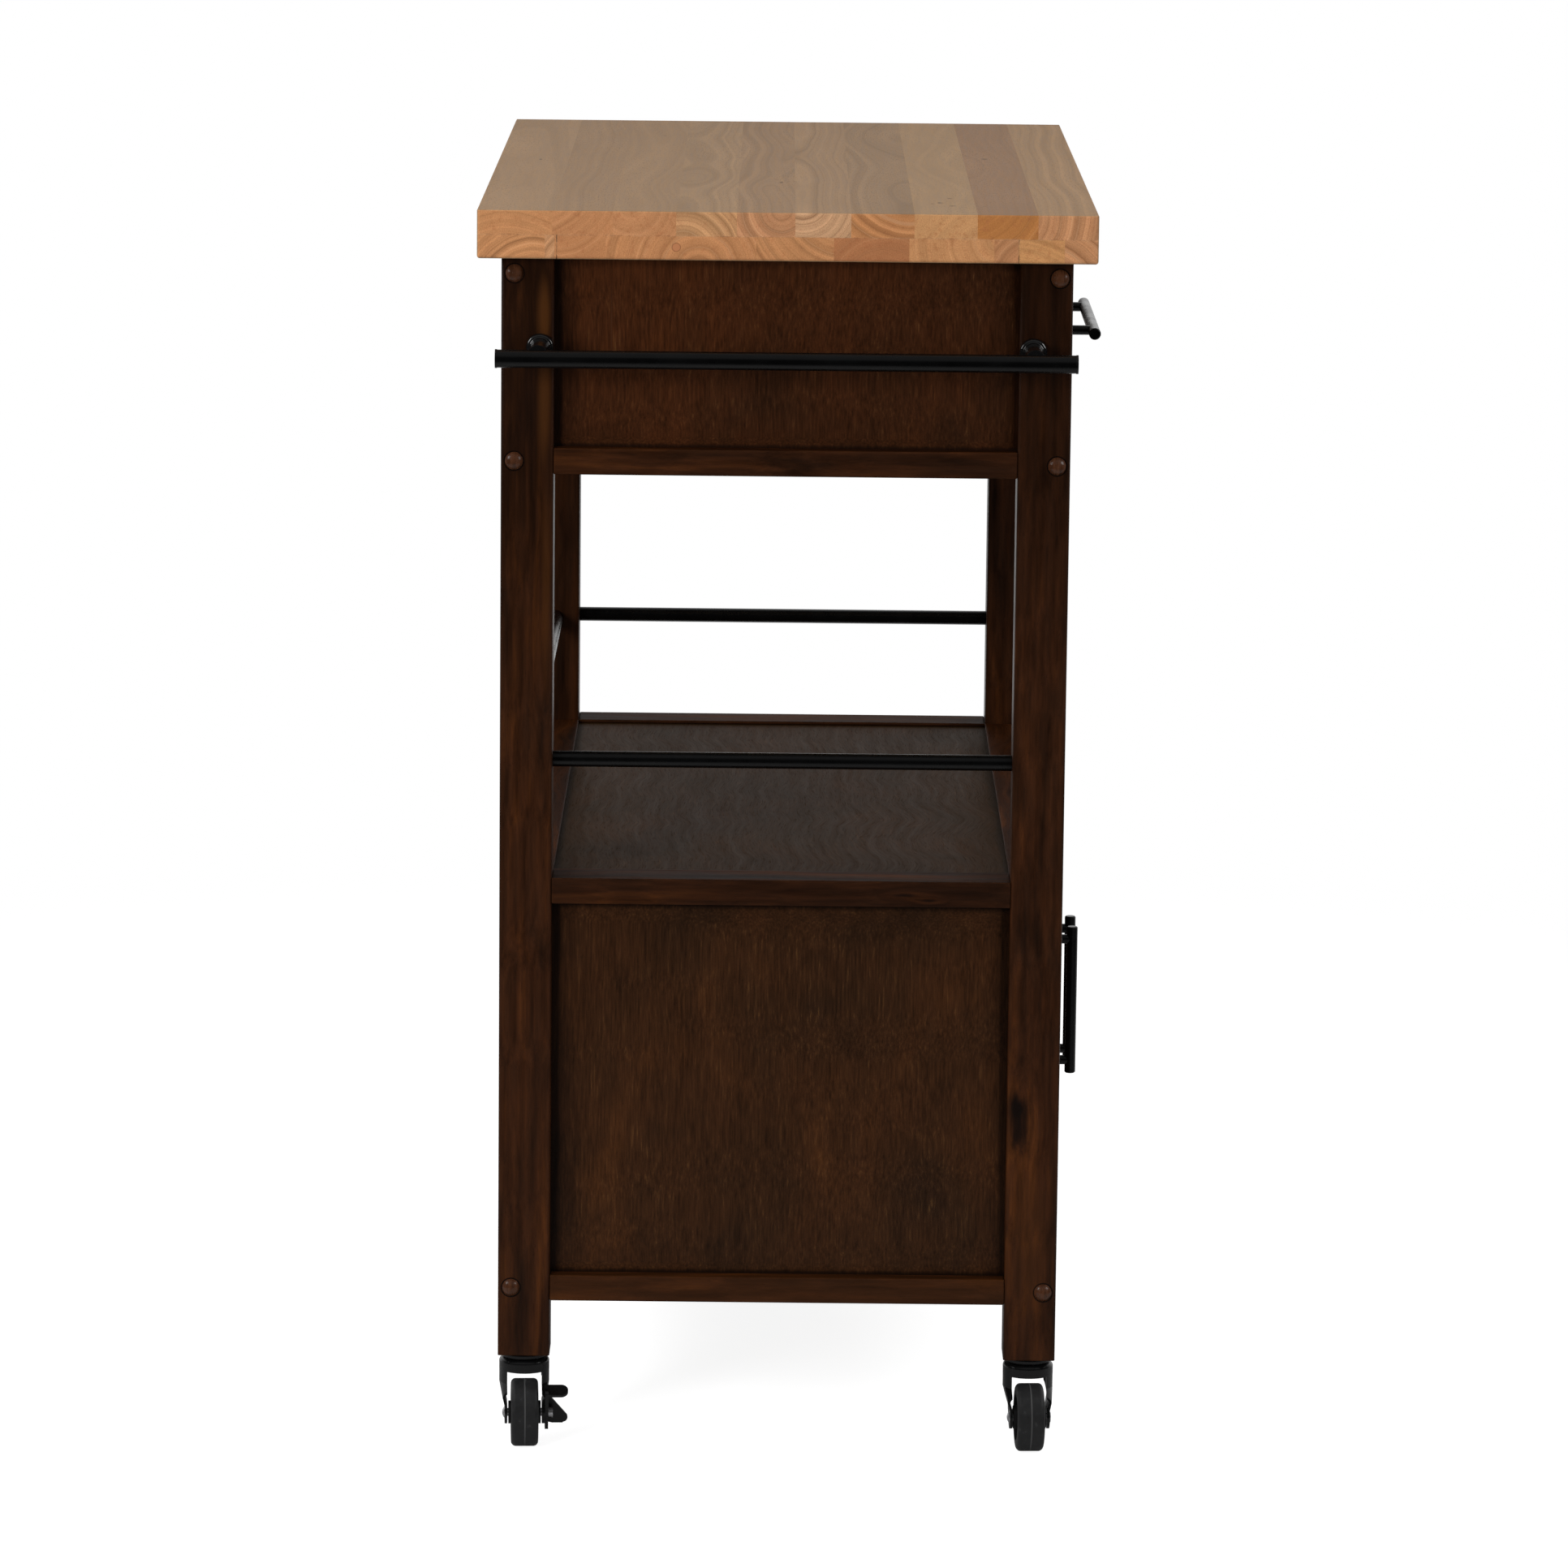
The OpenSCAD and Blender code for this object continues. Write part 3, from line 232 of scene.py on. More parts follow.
class StainedWood(Tree):
    """Dark stained wood with its fibres along one axis: 0, 1 or 2."""

    def __init__(self, name, grain, seed, marks, crossed):
        super().__init__(name)
        self.grain = grain
        self.xyz = self.split(self.place)
        if crossed:
            self.turn_between(*crossed)
        push = self.place_marks(marks)
        across = [self.xyz[i] for i in range(3) if i != grain]
        self.u = self.plus(self.xyz[grain], seed * 3.7)
        self.straight = self.plus(self.plus(across[0], push), seed * 1.3)
        self.w = self.plus(across[1], seed * 2.1)
        self.wander = self.noise(self.join(self.times(self.u, 3.0), self.straight, self.w), 2.2, 2.0)
        self.v = self.plus(self.straight, self.times(self.wander, 0.05))
        self.lines = self.fibres((7.0, 170.0), 4.0, 0.62)
        self.pores = self.fibres((70.0, 1300.0), 2.0, 0.6)

    def fibres(self, scales, detail, rough, v=None):
        """Noise with one scale along the fibres and another across them."""
        along, across = scales
        v = self.v if v is None else v
        return self.drawn((self.u, v, self.w), (along, across, across), detail, rough)

    def turn_between(self, start, end):
        """Swaps X and Z between two places along X, for boards that lie along X."""
        x, y, z = self.xyz
        lying = self.times(self.math("GREATER_THAN", x, start), self.math("LESS_THAN", x, end))
        turn = self.times(lying, self.minus(z, x))
        self.xyz = (self.plus(x, turn), y, self.minus(z, turn))

    def place_marks(self, marks):
        """Finds how far off each mark a place lies, and gives back how far the fibres bend there."""
        push = 0.0
        self.spots = []
        for centre, radii, shade, amount in marks:
            off = self.vector("SUBTRACT", self.place, centre)
            off = self.vector("LENGTH", self.vector("DIVIDE", off, radii))
            push = self.plus(push, self.span(off, 0.3, 3.0, 0.006, 0.0))
            self.spots.append((off, shade, amount))
        return push

    def stain(self, base, grain_tone, tone):
        """The base colour with its grain, and with dark pores."""
        dark = self.even(self.pores, 0.58, 0.72, 1.0, 0.72)
        return self.brighten(self.brighten(base, self.times(grain_tone, tone)), dark)

    def solid(self, tone):
        """Boards: soft clouds of stain and fine lines along the grain."""
        cloud = self.fibres((5.0, 62.0), 4.0, 0.62)
        grain_tone = self.even(self.lines, 0.28, 0.72, 0.52, 1.48)
        return self.stain(self.ramp(cloud, BOARD_STAIN), grain_tone, tone)

    def veneer(self, tone):
        """Panels: blotches, leaning flecks and streaks, gold where both run high, redder above."""
        lean = self.drawn((self.u, self.straight, self.w), (6.0, 7.0, 1.0), 2.0)
        v = self.plus(self.v, self.times(lean, 0.062))
        fleck = self.fibres((36.0, 640.0), 4.0, 0.66, v)
        streak = self.fibres((12.0, 90.0), 3.0, 0.6, v)
        blotch = self.noise(self.join(self.times(self.u, 0.6), v, self.w), 13.0, 4.0, 0.6, 0.3)
        base = self.ramp(blotch, VENEER_STAIN)
        base = self.mix(1.0, base, self.ramp(self.xyz[2], VENEER_TINT), "MULTIPLY")
        grain_tone = self.plus(self.even(fleck, 0.3, 0.7, 0.58, 1.44),
                               self.even(streak, 0.3, 0.7, -0.16, 0.16))
        gold = self.times(self.span(fleck, 0.56, 0.76), self.span(streak, 0.42, 0.66, 0.15, 0.75))
        return self.mix(gold, self.stain(base, grain_tone, tone), GOLD_FLECK)

    def painted_edge_shade(self, colour, panel):
        """Painted shade in a wide and a narrow band along a panel's edges, where the frame round it
        shades the recess.
        """
        shade = 1.0
        for axis, (lo, hi) in panel:
            here = self.plus(self.xyz[axis], self.times(self.minus(self.wander, 0.5), 0.012))
            near = self.math("MINIMUM", self.minus(here, lo), self.minus(hi, here))
            bands = self.times(self.span(near, 0.0, 0.024, 0.68, 1.0),
                               self.span(near, 0.0035, 0.0065, 0.5, 1.0))
            shade = self.times(shade, bands)
        return self.brighten(colour, shade)

    def post_shades(self, colour):
        """A post's darker top and foot, and painted shade in the narrow gaps round its caps."""
        x, y, z = self.xyz
        colour = self.brighten(colour, self.times(self.span(z, 0.50, 0.78, 1.0, 0.56),
                                                  self.span(z, 0.07, 0.30, 0.92, 1.0)))
        out = self.minus(self.math("ABSOLUTE", y), CAP_Y)
        ring = 1.0
        for height in CAP_HEIGHTS:
            r = self.vector("LENGTH", self.join(0.0, out, self.minus(z, height)))
            ring = self.math("MINIMUM", ring, self.gap(r, CAP_R))
        outer = self.span(self.math("ABSOLUTE", x), -END_X - 0.006, -END_X - 0.003, 0.0, 0.92)
        return self.mix(self.times(self.span(ring, 0.0006, 0.0011, 1.0, 0.0), outer), colour, CAP_GAP_SHADE)

    def draw_marks(self, colour):
        for off, shade, amount in self.spots:
            rough_edge = self.plus(off, self.even(self.lines, 0.3, 0.7, -0.2, 0.2))
            colour = self.mix(self.span(rough_edge, 0.2, 1.1, amount, 0.0), colour, shade)
        return colour

    def surface(self, colour):
        """Darker cut ends, and the surface. Level faces are rubbed dull."""
        ends = self.span(self.facing(self.grain), 0.6, 0.9, 0.0, 0.55)
        colour = self.mix(ends, colour, CUT_STAIN)
        rough = self.plus(self.even(self.lines, 0.3, 0.7, 0.36, 0.46),
                          self.even(self.pores, 0.55, 0.75, 0.0, 0.15))
        relief = self.plus(self.times(self.lines, 0.35), self.times(self.pores, -0.5))
        gloss = self.span(self.facing(2), 0.6, 0.9, 0.09, 0.004)
        self.set(Base_Color=colour, Roughness=rough, Specular_IOR_Level=gloss,
                 Normal=self.bump(relief, 0.22, 0.0004, self.rounded))
        return self.material


def stained_wood(name, grain, seed, panel=None, marks=(), tone=1.0, post=False, crossed=None):
    """Stained boards along an axis, or the veneer of a panel, with painted shade along its edges, which
    are given as (axis, (lowest, highest)). A mark is a soft spot: its middle, its three radii, its
    colour and its strength. Between the two places along X given as crossed, the boards lie along X."""
    t = StainedWood(name, grain, seed, marks, crossed)
    colour = t.painted_edge_shade(t.veneer(tone), panel) if panel else t.solid(tone)
    if post:
        colour = t.post_shades(colour)
    colour = t.draw_marks(colour)
    worn = t.edges(0.0016, 55.0)
    if not panel:
        colour = t.mix(t.times(worn, 0.55), colour, RUBBED_STAIN)
    return t.surface(colour)


# Butcher block

LONG_WOOD, END_WOOD, RED_PATCH = (0.305, 0.190, 0.103), (0.408, 0.198, 0.090), (0.30, 0.108, 0.045)
LONG_LINE, END_LINE, PALE_LINE = (0.150, 0.078, 0.036), (0.19, 0.074, 0.030), (0.60, 0.38, 0.22)
TINY_KNOT, PLUG_WOOD, PLUG_RIM = (0.060, 0.032, 0.018), (0.40, 0.165, 0.075), (0.12, 0.045, 0.02)
GLUE, OPEN_SEAM, RUBBED_EDGE = (0.13, 0.048, 0.022), (0.045, 0.018, 0.009), (0.52, 0.33, 0.19)

# Staves of the worktop's two layers, from the front: start along Y, tint of the long faces, tint of
# the ends, axis of the growth rings along Y from the stave's middle and along Z from the layer's,
# and strength of the rings
UPPER = (
    (-0.2220, (1.06, 1.04, 1.00), (1.03, 1.02, 1.06), (0.039, 0.008), 0.80),
    (-0.1792, (0.86, 0.79, 0.78), (0.90, 0.76, 0.52), (0.030, 0.030), 0.35),
    (-0.1358, (1.08, 1.08, 1.04), (1.08, 1.16, 1.12), (-0.040, -0.040), 0.12),
    (-0.0906, (0.90, 0.90, 0.90), (1.00, 0.92, 0.82), (-0.021, 0.047), 0.80),
    (-0.0466, (1.01, 1.00, 0.99), (1.10, 1.30, 1.55), (0.015, 0.0175), 0.95),
    (-0.0055, (0.95, 0.93, 0.92), (0.98, 0.98, 1.05), (-0.0106, 0.0107), 0.80),
    (0.0356, (1.03, 1.03, 1.02), (1.03, 1.12, 1.15), (0.0176, -0.022), 0.85),
    (0.0796, (0.99, 0.98, 0.96), (1.02, 0.98, 0.96), (0.009, 0.014), 0.22),
    (0.1247, (0.95, 0.94, 0.93), (1.00, 0.94, 0.90), (0.035, 0.035), 0.35),
    (0.1682, (1.04, 1.04, 1.04), (1.04, 1.00, 0.94), (0.005, -0.054), 0.50),
)
LOWER = (
    (-0.2220, (1.00, 0.99, 0.98), (1.00, 0.98, 1.00), (0.035, -0.045), 1.00),
    (-0.1994, (1.04, 1.04, 1.02), (1.10, 1.12, 0.98), (0.020, -0.060), 0.35),
    (-0.1650, (0.95, 0.94, 0.94), (0.92, 0.88, 0.88), (-0.020, -0.020), 0.50),
    (-0.1491, (1.03, 1.03, 1.02), (1.08, 1.08, 1.02), (-0.032, 0.008), 0.30),
    (-0.0871, (0.92, 0.90, 0.88), (0.84, 0.72, 0.68), (-0.010, -0.030), 0.12),
    (-0.0333, (0.96, 0.96, 0.95), (0.98, 0.94, 0.88), (-0.034, 0.036), 0.60),
    (0.0217, (1.02, 1.01, 1.00), (1.00, 0.94, 0.88), (-0.0116, -0.015), 0.50),
    (0.1290, (0.98, 0.97, 0.95), (0.98, 0.90, 0.84), (0.020, 0.040), 0.30),
    (0.1650, (1.00, 1.00, 1.00), (1.06, 1.10, 1.15), (-0.030, -0.020), 0.80),
    (0.1730, (1.03, 1.03, 1.02), (1.04, 1.00, 0.94), (-0.018, -0.037), 0.90),
)
# Tiny knots on the worktop: place along X and Y, half length and half width
TINY_KNOTS = (
    (-0.296, -0.1110, 0.0060, 0.0045), (-0.303, -0.1040, 0.0050, 0.0025),
    (-0.262, -0.1180, 0.0045, 0.0030), (-0.318, -0.1190, 0.0040, 0.0035),
    (-0.150, 0.0050, 0.0080, 0.0020), (0.060, -0.1520, 0.0070, 0.0030),
    (0.240, 0.0980, 0.0060, 0.0025), (0.020, 0.1900, 0.0070, 0.0020),
)
# How far the rings' axis may lie from a stave's middle and the range over which it wanders, both in
# metres, and the steps of the rings' noise to a metre
AXIS_REACH, AXIS_WANDER, RINGS = 0.1, 0.040, 190.0


class BlockWood(Tree):
    """Glued staves along X. Growth rings are cylinders about an axis along X, one for each stave,
    so they show as arcs on the ends, and as arches on the faces where the axis wanders."""

    def __init__(self, name, staves, seed, layer_z):
        super().__init__(name)
        self.xyz = self.split(self.place)
        self.x, self.y, self.z = self.xyz
        self.find_stave(staves)
        chance = [self.white(self.middle, seed + part) for part in (0.1, 0.2)]
        self.find_rings(chance, layer_z)
        self.fibre = self.drawn(self.xyz, (22.0, 520.0, 520.0), 4.0, 0.65)
        cloud = self.join(self.times(self.x, 5.0), self.times(self.y, 30.0),
                          self.plus(self.times(self.z, 30.0), chance[1]))
        self.cloud = self.noise(cloud, 1.0, 3.0, 0.55)
        self.mottle = self.drawn(self.xyz, (20.0, 240.0, 240.0), 4.0, 0.65)

    def find_stave(self, staves):
        """Looks up the tints, the rings' axis and their strength for the stave at a place."""
        across = self.math("DIVIDE", self.plus(self.y, TOP_W / 2), TOP_W)
        starts = [(row[0] + TOP_W / 2) / TOP_W for row in staves]
        ends = starts[1:] + [1.0]

        def looked_up(values):
            return self.ramp(across, list(zip(starts, values)), "CONSTANT")

        self.tint = looked_up([row[1] for row in staves])
        self.end_tint = looked_up([row[2] for row in staves])
        middle = looked_up([(a + b) / 2 for a, b in zip(starts, ends)])
        self.middle = self.minus(self.times(middle, TOP_W), TOP_W / 2)
        # A ramp holds values from 0 to 1, so places within the axis's reach are packed into that
        width = AXIS_REACH * 2
        packed = [((y + AXIS_REACH) / width, (z + AXIS_REACH) / width, strong)
                  for _, _, _, (y, z), strong in staves]
        axis_y, axis_z, self.strong = self.split(looked_up(packed))
        self.axis_y = self.minus(self.times(axis_y, width), AXIS_REACH)
        self.axis_z = self.minus(self.times(axis_z, width), AXIS_REACH)

    def find_rings(self, chance, layer_z):
        """The rings' bands, and their dark and pale lines. Their axis keeps its place at the left
        end and wanders further in."""
        inward = self.span(self.x, -TOP_L / 2, -0.12)
        rise = self.line_noise(self.plus(self.times(self.x, 2.3), self.times(chance[0], 50.0)), 1.5)
        drift = self.line_noise(self.plus(self.times(self.x, 2.0), self.times(chance[1], 50.0)), 1.0)
        rise = self.times(self.times(self.minus(rise, 0.5), AXIS_WANDER), inward)
        drift = self.times(self.times(self.minus(drift, 0.5), AXIS_WANDER), inward)
        off_y = self.minus(self.y, self.plus(self.plus(self.middle, self.axis_y), drift))
        off_z = self.minus(self.z, self.plus(self.plus(self.axis_z, rise), layer_z))
        uneven = self.times(self.drawn(self.xyz, (7.0, 42.0, 42.0), 4.0), 0.0030)
        radius = self.plus(self.vector("LENGTH", self.join(0.0, off_y, off_z)), uneven)
        years = self.plus(self.times(radius, RINGS), self.times(chance[0], 40.0))
        self.band = self.line_noise(self.times(years, 0.8), 3.0, 0.62)
        edges = self.line_noise(years, 1.5, 0.5)
        line = self.span(self.gap(edges, 0.44), 0.0, 0.034, 1.0, 0.0)
        pale = self.span(self.gap(edges, 0.61), 0.0, 0.026, 1.0, 0.0)
        self.line = self.times(line, self.strong)
        self.pale = self.times(pale, self.plus(self.strong, 0.15))

    def banded(self, depth, least):
        """The rings' bands as a factor, stronger on staves with strong rings."""
        band = self.even(self.band, *depth)
        return self.plus(1.0, self.times(band, self.plus(self.strong, least)))

    def long_face(self, spots):
        """The faces along the staves, with dashes of open pores and tiny knots."""
        pores = self.drawn(self.xyz, (130.0, 1300.0, 1300.0), 2.0, 0.6)
        dashes = self.times(self.even(pores, 0.53, 0.70, 1.0, 0.66),
                            self.span(self.cloud, 0.35, 0.65, 0.3, 1.0))
        dashes = self.plus(dashes, self.span(self.cloud, 0.35, 0.65, 0.7, 0.0))
        tone = self.times(self.even(self.cloud, 0.28, 0.72, 0.92, 1.08),
                          self.even(self.fibre, 0.3, 0.7, 0.89, 1.11))
        tone = self.times(tone, self.banded((0.3, 0.7, -0.10, 0.10), 0.3))
        tone = self.times(tone, dashes)
        face = self.brighten(self.mix(1.0, LONG_WOOD, self.tint, "MULTIPLY"), tone)
        face = self.mix(self.times(self.line, 0.17), face, LONG_LINE)
        for spot_x, spot_y, length, width in spots:
            off_x = self.math("DIVIDE", self.minus(self.x, spot_x), length)
            off_y = self.math("DIVIDE", self.minus(self.y, spot_y), width)
            off = self.vector("LENGTH", self.join(off_x, off_y, 0.0))
            off = self.plus(off, self.even(self.mottle, 0.3, 0.7, -0.35, 0.35))
            face = self.mix(self.span(off, 0.2, 1.0, 0.62, 0.0), face, TINY_KNOT)
        return face

    def cut_end(self):
        """The ends of the staves: arcs, specks, and patches that lean to red."""
        dots = self.drawn((0.0, self.y, self.z), (0.0, 1500.0, 1100.0), 2.0, 0.7)
        cut = self.mix(1.0, END_WOOD, self.end_tint, "MULTIPLY")
        patch = self.times(self.span(self.mottle, 0.50, 0.68),
                           self.even(self.strong, 0.2, 0.9, 0.42, 0.18))
        cut = self.mix(patch, cut, RED_PATCH)
        tone = self.times(self.even(self.cloud, 0.28, 0.72, 0.93, 1.07),
                          self.even(dots, 0.38, 0.70, 1.13, 0.78))
        cut = self.brighten(cut, self.times(tone, self.banded((0.32, 0.68, -0.22, 0.22), 0.15)))
        cut = self.mix(self.times(self.line, 0.50), cut, END_LINE)
        return self.mix(self.times(self.pale, 0.24), cut, PALE_LINE)

    def draw_plug(self, colour, end):
        """The small wooden plug in the left end, with a dark rim."""
        off_y, off_z = self.minus(self.y, PLUG_Y), self.minus(self.z, PLUG_Z)
        off = self.vector("LENGTH", self.join(0.0, off_y, off_z))
        near = self.times(end, self.even(self.x, -0.001, 0.001, 1.0, 0.0))
        inside = self.times(self.span(off, PLUG_R - 0.0002, PLUG_R + 0.0001, 1.0, 0.0), near)
        rim = self.span(self.gap(off, PLUG_R), 0.0001, 0.0005, 0.55, 0.0)
        colour = self.mix(inside, colour, PLUG_WOOD)
        return self.mix(self.times(rim, near), colour, PLUG_RIM)

    def draw_glue(self, colour, strips):
        """The glue line between the layers, and the open seams beside the long strips."""
        ragged = self.span(self.mottle, 0.42, 0.62)
        glue = self.span(self.gap(self.z, TOP_Z - LAYER), 0.0, 0.0005, 0.5, 0.0)
        colour = self.mix(self.times(glue, ragged), colour, GLUE)
        if not strips:
            return colour
        beside = self.gap(self.math("ABSOLUTE", self.y), TOP_W / 2 - STRIP_W)
        seam = self.span(self.minus(beside, self.times(ragged, 0.0003)), 0.0, 0.0004, 1.0, 0.0)
        open_seam = self.span(self.noise(self.place, 160.0, 2.0), 0.35, 0.6, 0.35, 0.95)
        return self.mix(self.times(seam, open_seam), colour, OPEN_SEAM)


def block_wood(name, staves, seed, layer_z, strips=False, spots=()):
    """A layer of the worktop. The one made of strips has the plug and the strips' seams."""
    t = BlockWood(name, staves, seed, layer_z)
    end = t.span(t.facing(0), 0.55, 0.85)
    colour = t.mix(end, t.long_face(spots), t.cut_end())
    if strips:
        colour = t.draw_plug(colour, end)
    colour = t.draw_glue(colour, strips)
    colour = t.mix(t.times(t.edges(0.0015, 70.0), 0.30), colour, RUBBED_EDGE)
    height = t.plus(t.times(t.fibre, 0.6), t.times(t.band, 0.4))
    t.set(Base_Color=colour, Roughness=t.even(t.fibre, 0.3, 0.7, 0.52, 0.64),
          Specular_IOR_Level=0.06, Normal=t.bump(height, 0.12, 0.0003))
    return t.material


# Other wood

DRAWER_WOOD, BOTTOM_WOOD, CLEAT_WOOD = (0.46, 0.31, 0.18), (0.42, 0.30, 0.19), (0.30, 0.19, 0.11)
CAP_STAIN = [(0.3, (0.026, 0.0094, 0.0042)), (0.7, (0.070, 0.0250, 0.0105))]


def plain_wood(name, grain, seed, colour=DRAWER_WOOD):
    """Pale clear-lacquered wood of the drawer box."""
    t = Tree(name)
    xyz = t.split(t.place)
    u = t.plus(xyz[grain], seed)
    v, w = [xyz[i] for i in range(3) if i != grain]
    wander = t.noise(t.join(t.times(u, 2.0), v, w), 4.0, 2.0)
    v = t.plus(v, t.times(wander, 0.03))
    lines = t.drawn((u, v, w), (5.0, 110.0, 110.0), 4.0, 0.6)
    pores = t.drawn((u, v, w), (60.0, 1100.0, 1100.0), 2.0, 0.5)
    tone = t.times(t.even(lines, 0.3, 0.7, 0.84, 1.1), t.even(pores, 0.6, 0.75, 1.0, 0.8))
    base = t.mix(wander, colour, tuple(c * k for c, k in zip(colour, (0.86, 0.78, 0.7))))
    t.set(Base_Color=t.brighten(base, tone), Roughness=t.even(lines, 0.3, 0.7, 0.42, 0.52),
          Specular_IOR_Level=0.35, Normal=t.bump(lines, 0.15, 0.0003))
    return t.material


def cap_wood(name):
    """Domed caps of turned wood, glossier than the posts."""
    t = Tree(name)
    lines = t.drawn(t.split(t.place), (40.0, 420.0, 90.0), 4.0, 0.6)
    t.set(Base_Color=t.ramp(lines, CAP_STAIN), Roughness=t.even(lines, 0.3, 0.7, 0.22, 0.32),
          Specular_IOR_Level=0.3, Normal=t.bump(lines, 0.06, 0.0002))
    return t.material


# Metal and plastic

# Roughness, colour and gloss of the black paints
TUBE_PAINT, BRACKET_PAINT, CASTER_PAINT = (0.26, 0.0014, 0.30), (0.12, 0.0035, 0.6), (0.26, 0.0030, 0.32)
WORN_PAINT, WORN_SEAM = (0.028, 0.027, 0.026), (0.09, 0.09, 0.09)
# Colours of the wheels from clean to scuffed, and of the door catches
WHEEL_GREY = [(0.3, (0.0065, 0.0065, 0.0067)), (0.6, (0.0095, 0.0095, 0.0098)),
              (0.78, (0.030, 0.030, 0.030))]
CATCH_BROWN = (0.03, 0.02, 0.015)


def black_paint(name, rough, colour, gloss):
    """Black paint on metal, with a faint orange peel, handling marks and worn edges."""
    t = Tree(name)
    peel = t.noise(t.place, 900.0, 2.0, 0.5)
    marks = t.noise(t.place, 45.0, 4.0, 0.6)
    tone = t.ramp(marks, [(0.3, (colour * 0.8, colour * 0.8, colour * 0.82)),
                          (0.7, (colour * 1.25, colour * 1.25, colour * 1.3))])
    tone = t.mix(t.times(t.edges(0.0007, 240.0), 0.5), tone, WORN_PAINT)
    t.set(Base_Color=tone, Roughness=t.even(marks, 0.3, 0.7, rough - 0.05, rough + 0.08),
          Specular_IOR_Level=gloss, Normal=t.bump(peel, 0.05, 0.0002))
    return t.material


def plated(name, grain):
    """Zinc-plated steel with fine drawing lines along an axis."""
    t = Tree(name)
    scales = [40.0 if i == grain else 1800.0 for i in range(3)]
    lines = t.drawn(t.split(t.place), scales, 2.0, 0.6)
    cloud = t.noise(t.place, 160.0, 3.0, 0.6)
    tone = t.ramp(cloud, [(0.3, (0.50, 0.50, 0.51)), (0.7, (0.66, 0.66, 0.68))])
    t.set(Base_Color=t.brighten(tone, t.even(lines, 0.3, 0.7, 0.85, 1.08)), Metallic=1.0,
          Roughness=t.even(lines, 0.3, 0.7, 0.24, 0.40), Normal=t.bump(lines, 0.08, 0.0001))
    return t.material


def wheel_plastic(name, centre):
    """Grey moulded wheel: scuffed tread with a parting line round its middle, and a darker web."""
    t = Tree(name)
    x, y, z = t.split(t.vector("SUBTRACT", t.place, tuple(centre)))
    c, s = math.cos(CASTER_TURN), math.sin(CASTER_TURN)
    side = t.plus(t.times(x, -s), t.times(y, c))
    front = t.plus(t.times(x, c), t.times(y, s))
    radius = t.vector("LENGTH", t.join(front, 0.0, z))
    tread = t.span(radius, WHEEL_R - 0.004, WHEEL_R - 0.001)
    seam = t.times(t.span(t.math("ABSOLUTE", side), 0.0002, 0.0007, 1.0, 0.0), tread)
    scuff = t.noise(t.place, 210.0, 5.0, 0.65)
    grain = t.noise(t.place, 1500.0, 2.0, 0.5)
    tone = t.brighten(t.ramp(scuff, WHEEL_GREY), t.plus(1.0, t.times(tread, 0.25)))
    tone = t.mix(t.times(seam, 0.5), tone, WORN_SEAM)
    tone = t.brighten(tone, t.span(radius, WHEEL_R - 0.0085, WHEEL_R - 0.0075, 0.65, 1.0))
    height = t.plus(t.times(seam, 0.8), t.times(grain, 0.25))
    t.set(Base_Color=tone, Roughness=t.even(scuff, 0.3, 0.7, 0.45, 0.62),
          Specular_IOR_Level=0.3, Normal=t.bump(height, 0.4, 0.0004))
    return t.material


def moulded(name, colour):
    """Moulded plastic with a fine grain."""
    t = Tree(name)
    grain = t.noise(t.place, 1600.0, 3.0, 0.6)
    dark, light = (tuple(c * factor for c in colour) for factor in (0.85, 1.2))
    tone = t.ramp(grain, [(0.3, dark), (0.7, light)])
    t.set(Base_Color=tone, Roughness=t.even(grain, 0.3, 0.7, 0.42, 0.55),
          Specular_IOR_Level=0.45, Normal=t.bump(grain, 0.12, 0.0002))
    return t.material


# Dressing of the solids

# Colours of the marks, of the painted shade and highlight, and of the shelf's painted sheen
KNOT_AND_SHADE, AMBER_AND_HIGHLIGHT, PALE = (0.0050, 0.0026, 0.0018), (0.085, 0.029, 0.006), (0.060, 0.027, 0.014)
OLIVE_SHEEN = (0.034, 0.0185, 0.0066)
# Radius along X of a mark on an end, and a radius that takes a mark right across a piece
DEEP, WIDE = 0.03, 1.0
